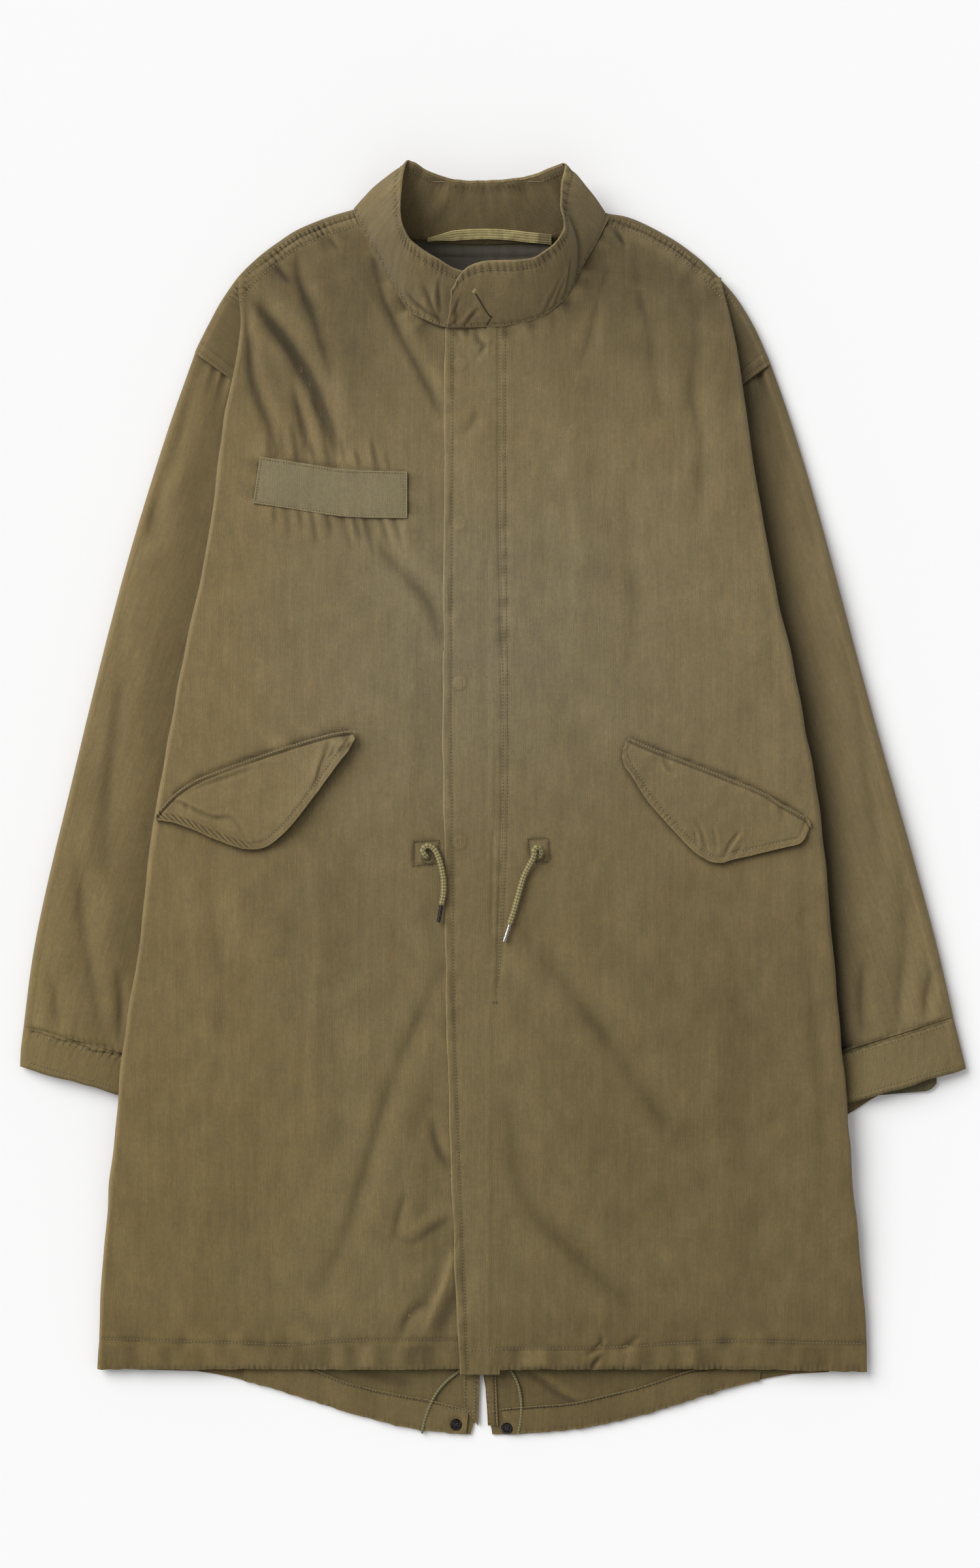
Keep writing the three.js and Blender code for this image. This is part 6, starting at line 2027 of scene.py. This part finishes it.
def stitches(name, rows, half_width=0.36, half_height=0.34, tone=1.0, hole_shade=0.45):
    """One piece of thread: each row is a list of points with normals, with a stitch along the row at each.

    Between one stitch and the next a dark bead sits in the needle hole as painted shade, in the tone given
    for the hole."""
    points = []
    faces = []
    dye = []
    grain = []

    def bead(place, way, side, normal, sizes, shade):
        start = len(points)
        for a, b, c in SHAPE_OF_STITCH:
            points.append(place + way * a * sizes[0] + side * b * sizes[1] + normal * c * sizes[2])
            grain.append((place[0] + a, place[1] + b, 0))
            dye.append((shade,) * 3)
        faces.extend(tuple(start + k for k in face) for face in FACES_OF_STITCH)

    for row in rows:
        places = np.array([place for place, _ in row])
        if len(places) < 2:
            continue
        along = np.gradient(places, axis=0)
        for (place, normal), way in zip(row, along):
            pitch = np.linalg.norm(way)
            way = way / pitch
            side = np.cross(normal, way)
            bead(place, way, side, normal, (0.34 * pitch, half_width, half_height), tone)
            # A dark bead in the needle hole: painted shade.
            if hole_shade:
                bead(place + way * pitch / 2, way, side, normal, (0.55, half_width + 0.15, 0.16), hole_shade)
    return add_mesh(name, points, faces, THREAD, {"dye": dye, "grain": grain}, sharp=80)


def eyelet(half):
    """Thread worked round the eyelet that the waist cord leaves by, and the square stitched round it."""
    square = EYELETS[half.name]
    front_piece = fronts[half.name]
    sides = [placed_on(front_piece, [a, b], 2.4) for a, b in sides_of(square)]
    rows = []
    x, y, _ = WAIST_CORDS[half.name][0]
    for k in range(22):
        angle = 2 * np.pi * k / 22
        ray = np.array([np.cos(angle), np.sin(angle)])
        ends = [np.array([x, y]) + ray * 2.6, np.array([x, y]) + ray * 5.4]
        rows.append(placed_on(front_piece, ends, 1.4))
    box = stitches(f"thread_square_{half.name}", sides, 0.5, 0.34, 0.5, hole_shade=0.3)
    return [stitches(f"thread_eyelet_{half.name}", rows, tone=0.82), box]


def thread_of_front(half):
    sign = half.sign
    piece = fronts[half.name]
    rows = [placed_on(piece, hem_line(half)[:-1] + [(px - sign * 4, py) for px, py in hem_line(half)[-1:]])]
    if sign > 0:
        rows.append(placed_on(piece, [(px + 1.6, py) for px, py in PLACKET]))
        rows.append(placed_on(piece, PLACKET_ROW))
    return stitches(f"thread_front_{half.name}", rows, tone=1.0)


def thread_of_shoulder(half):
    """Two rows of stitches, one on each side of the gathers at the shoulder."""
    rays = WRAP_TABLES[half.name]
    rows = []
    for inward, piece in ((4.5, wraps[half.name]), (15.5 if half.sign < 0 else 11.5, fronts[half.name])):
        shares = np.linspace(0.0, 0.72, 12)
        turns = lerp(rays["first"], rays["last"], shares)
        radii = np.interp(shares, rays["shares"], rays["outer"]) - inward
        line = np.array(rays["pivot"]) + radii[:, None] * np.stack([np.cos(turns), np.sin(turns)], -1)
        rows.append(placed_on(piece, line))
    return stitches(f"thread_shoulder_{half.name}", rows, 0.45, 0.4, 1.2)


def thread_of_flap(half):
    origin, way, down_way = outline_of_flap(half)
    length = FLAP_LENGTHS[half.name]
    lowest = 108 if half.sign < 0 else length - 6
    edge = np.array([origin + way * a + down_way * flap_low(half, a) for a in np.linspace(0, length, 120)])
    along = unit(np.gradient(edge, axis=0))
    inside = edge + half.sign * FLAP_STITCH * np.stack([-along[:, 1], along[:, 0]], -1)
    places = np.linspace(0, length, 120)
    free = [tuple(point) for place, point in zip(places, inside) if 7 < place < lowest][::5]
    welt = [origin + way * a + down_way * (flap_top(half, a) + 1.7) for a in np.linspace(3, length - 9, 12)]
    rows = [placed_on(flaps[half.name], free), placed_on(flaps[half.name], welt, 2.5)]
    return stitches(f"thread_flap_{half.name}", rows, tone=1.1, half_width=0.5)


def thread_of_fly():
    levels = np.linspace(FLY.low + 3, FLY.high - 2, 16)
    rows = [placed_on(flies, [(FLY.left(level) + FLY_STITCH, level) for level in levels])]
    bar = [[(PLACKET[-1][0] - 3.5, -173 + k), (PLACKET[-1][0] + 4, -174 + k)] for k in (-0.9, 0, 0.9)]
    rows += [placed_on(flies, line, 1.4) for line in bar]
    rows.append(placed_on(flies, [(FLY.left(FLY.low) + 5, -472.4), (8, -471.4)]))
    knot = [[(px, -476), (px + 3.4, -471 + 0.4 * k)] for k, px in enumerate((-36, -34, -32))]
    rows += [placed_on(flies, line, 1.2) for line in knot]
    return stitches("thread_fly", rows, hole_shade=0.35)


def thread_of_tape():
    box = tape_outline(1.7)
    rows = [placed_on(tape, [tuple(a), tuple(b)], 2.4) for a, b in sides_of(box)]
    return stitches("thread_name_tape", rows, tone=1.25)


def tape_outline(inset):
    low, high = box_of("name_tape")
    return [
        (low[0] + 5.5 + inset, high[1] - inset - 0.6), (low[0] + 42, high[1] - 6.2 - inset),
        (low[0] + 78, high[1] - 11.8 - inset), (high[0] - inset, high[1] - 13 - inset),
        (high[0] - inset, low[1] + inset), (low[0] + 78, low[1] + 1.2 + inset),
        (low[0] + 42, low[1] + 7 + inset), (low[0] + inset, low[1] + 13 + inset),
    ]


def thread_of_sleeve(half):
    wrap = wraps[half.name]
    pivot = np.array(WRAP_PIVOTS[half.name])
    rows = []
    for gap in (4.2, 11.6):
        share = SLEEVE_LAP - gap / WRAP_LENGTH
        turn, outer, inner = (value.ravel()[0] for value in wrap_rays(half.name, np.array([share])))
        ray = np.array([np.cos(turn), np.sin(turn)])
        rows.append(placed_on(wrap, [tuple(pivot + ray * (outer - 4)), tuple(pivot + ray * (inner + 1))]))
    return stitches(f"thread_armhole_{half.name}", rows, tone=1.02)


def thread_of_cuff(half):
    tube = CUFFS[half.name]
    rows = []
    for run in (3.2, tube.length - 6):
        share = run / tube.length
        places = [tube.plan(share, across) for across in np.linspace(0.06, 0.95, 8)]
        rows.append(placed_on(cuffs[half.name], [(float(px), float(py)) for px, py in places]))
    return stitches(f"thread_cuff_{half.name}", rows, tone=1.0)


def thread_of_collar():
    height = 52
    ups = np.array([3.2 / height, 1 - 6 / height])
    steps_up = 32
    grid, run, up = collar_grid(np.linspace(0, 1, steps_up + 1), 1.2)
    normal = face_normals(grid)
    surface = grid + collar_relief(run, up)[0][:, :, None] * normal
    rows = []
    for share in ups:
        k = share * steps_up
        low = int(k)
        high = min(low + 1, steps_up)
        line = lerp(surface[low], surface[high], k - low)
        ways = lerp(normal[low], normal[high], k - low)
        steps = runs(line)
        at = np.arange(3, steps[-1] - 2, STITCH)
        place = np.stack([np.interp(at, steps, line[:, c]) for c in range(3)], -1)
        way = np.stack([np.interp(at, steps, ways[:, c]) for c in range(3)], -1)
        rows.append(list(zip(place, unit(way))))
    behind = [(place - COLLAR_WALL * way, -way) for place, way in rows[1] if place[1] > 528]
    mark = placed_on(band, [(-16.3, 430.6), (-4.7, 412.9), (-2.3, 411.8), (-9.1, 400.7)], 1.9)
    knot = placed_on(band, [(-18.2, 430.6), (-15.4, 433.8)], 1.3)
    dark = stitches("thread_mark", [mark], 0.75, 0.35, 0.3, hole_shade=0.15)
    light = stitches("thread_knot", [knot], 1.4, 0.8, 2.3, hole_shade=0)
    foot = stitches("thread_collar_foot", rows[:1], 0.5, 0.4, 1.5)
    return [stitches("thread_collar", [rows[1], behind], 0.4, 0.4, 1.2), dark, light, foot]


# Rows of stitches beside the vent: along the right facing, the left one, and across both corners.
VENT_ROWS = [
    [(-24.4, -492), (-24.6, -524)], [(-16.4, -492), (-17.2, -536)], [(2, -536), (0.4, -492)],
    [(-40, -523.6), (-16, -526)], [(-5, -526.5), (16, -523)],
]


def thread_of_tail():
    rows = [placed_on(back, line) for line in (*TAIL_HEMS, *VENT_ROWS)]
    return stitches("thread_back", rows, 0.42, 0.4, 1.15)


flies = fly()
sleeves = {half.name: sleeve(half) for half in (RIGHT, LEFT)}
cuffs = {half.name: cuff(half) for half in (RIGHT, LEFT)}
wraps = {half.name: shoulder_wrap(half) for half in (RIGHT, LEFT)}
back = back_sheet()
band = collar()
inside = lining()
loop = hanger_loop()
flaps = {half.name: flap(half) for half in (RIGHT, LEFT)}
tape = name_tape()
tab = cuff_tab()

sewn_pieces = [flies, back, tape, band, *fronts.values(), *flaps.values(), *wraps.values(), *cuffs.values()]
TREES = {piece.name: tree_of(piece) for piece in sewn_pieces}
bands = tail_bands()
TREES.update({piece.name: tree_of(piece) for piece in bands})
OVER = {"cloth_back": [piece.name for piece in bands]}
threads = {
    "fly": thread_of_fly(), "collar": thread_of_collar(), "tape": thread_of_tape(), "back": thread_of_tail()
}
for half in (RIGHT, LEFT):
    threads[f"front_{half.name}"] = thread_of_front(half)
    threads[f"eyelet_{half.name}"] = eyelet(half)
    threads[f"shoulder_{half.name}"] = thread_of_shoulder(half)
    threads[f"flap_{half.name}"] = thread_of_flap(half)
    threads[f"armhole_{half.name}"] = thread_of_sleeve(half)
    threads[f"cuff_{half.name}"] = thread_of_cuff(half)


# ---- Sizes of what shows of each sheet of cloth's cut, worked out and not kept ----


def declare_sheets():
    for half in (RIGHT, LEFT):
        name = half.name
        width, length, area = front_cut(half)
        along = np.linspace(0, FLAP_LENGTHS[name], 200)
        depth = flap_low(half, along) - flap_top(half, along)
        area = depth.mean() * along[-1]
    with_back = [*wraps.values(), *bands, threads["back"]]
    for kind in ("shoulder", "armhole"):
        with_back += [threads[f"{kind}_{half.name}"] for half in (RIGHT, LEFT)]
    low, high = box_of("back")
    length = high[1] - low[1]
    for piece, node, rests_on, pieces in (
        (inside, "back_lining", [back], []),
        (loop, "hanger_loop", [band], []),
        (tape, "name_tape", [fronts["right"]], [threads["tape"]]),
        (tab, "cuff_tab_left", ["floor"], []),
    ):
        low, high = box_of(node)
        width = high[0] - low[0]
        length = high[1] - low[1]
        if node == "hanger_loop":
            width = width + 9
        if node == "name_tape":
            length = 40
        area = 0.95 * width * length


declare_sheets()
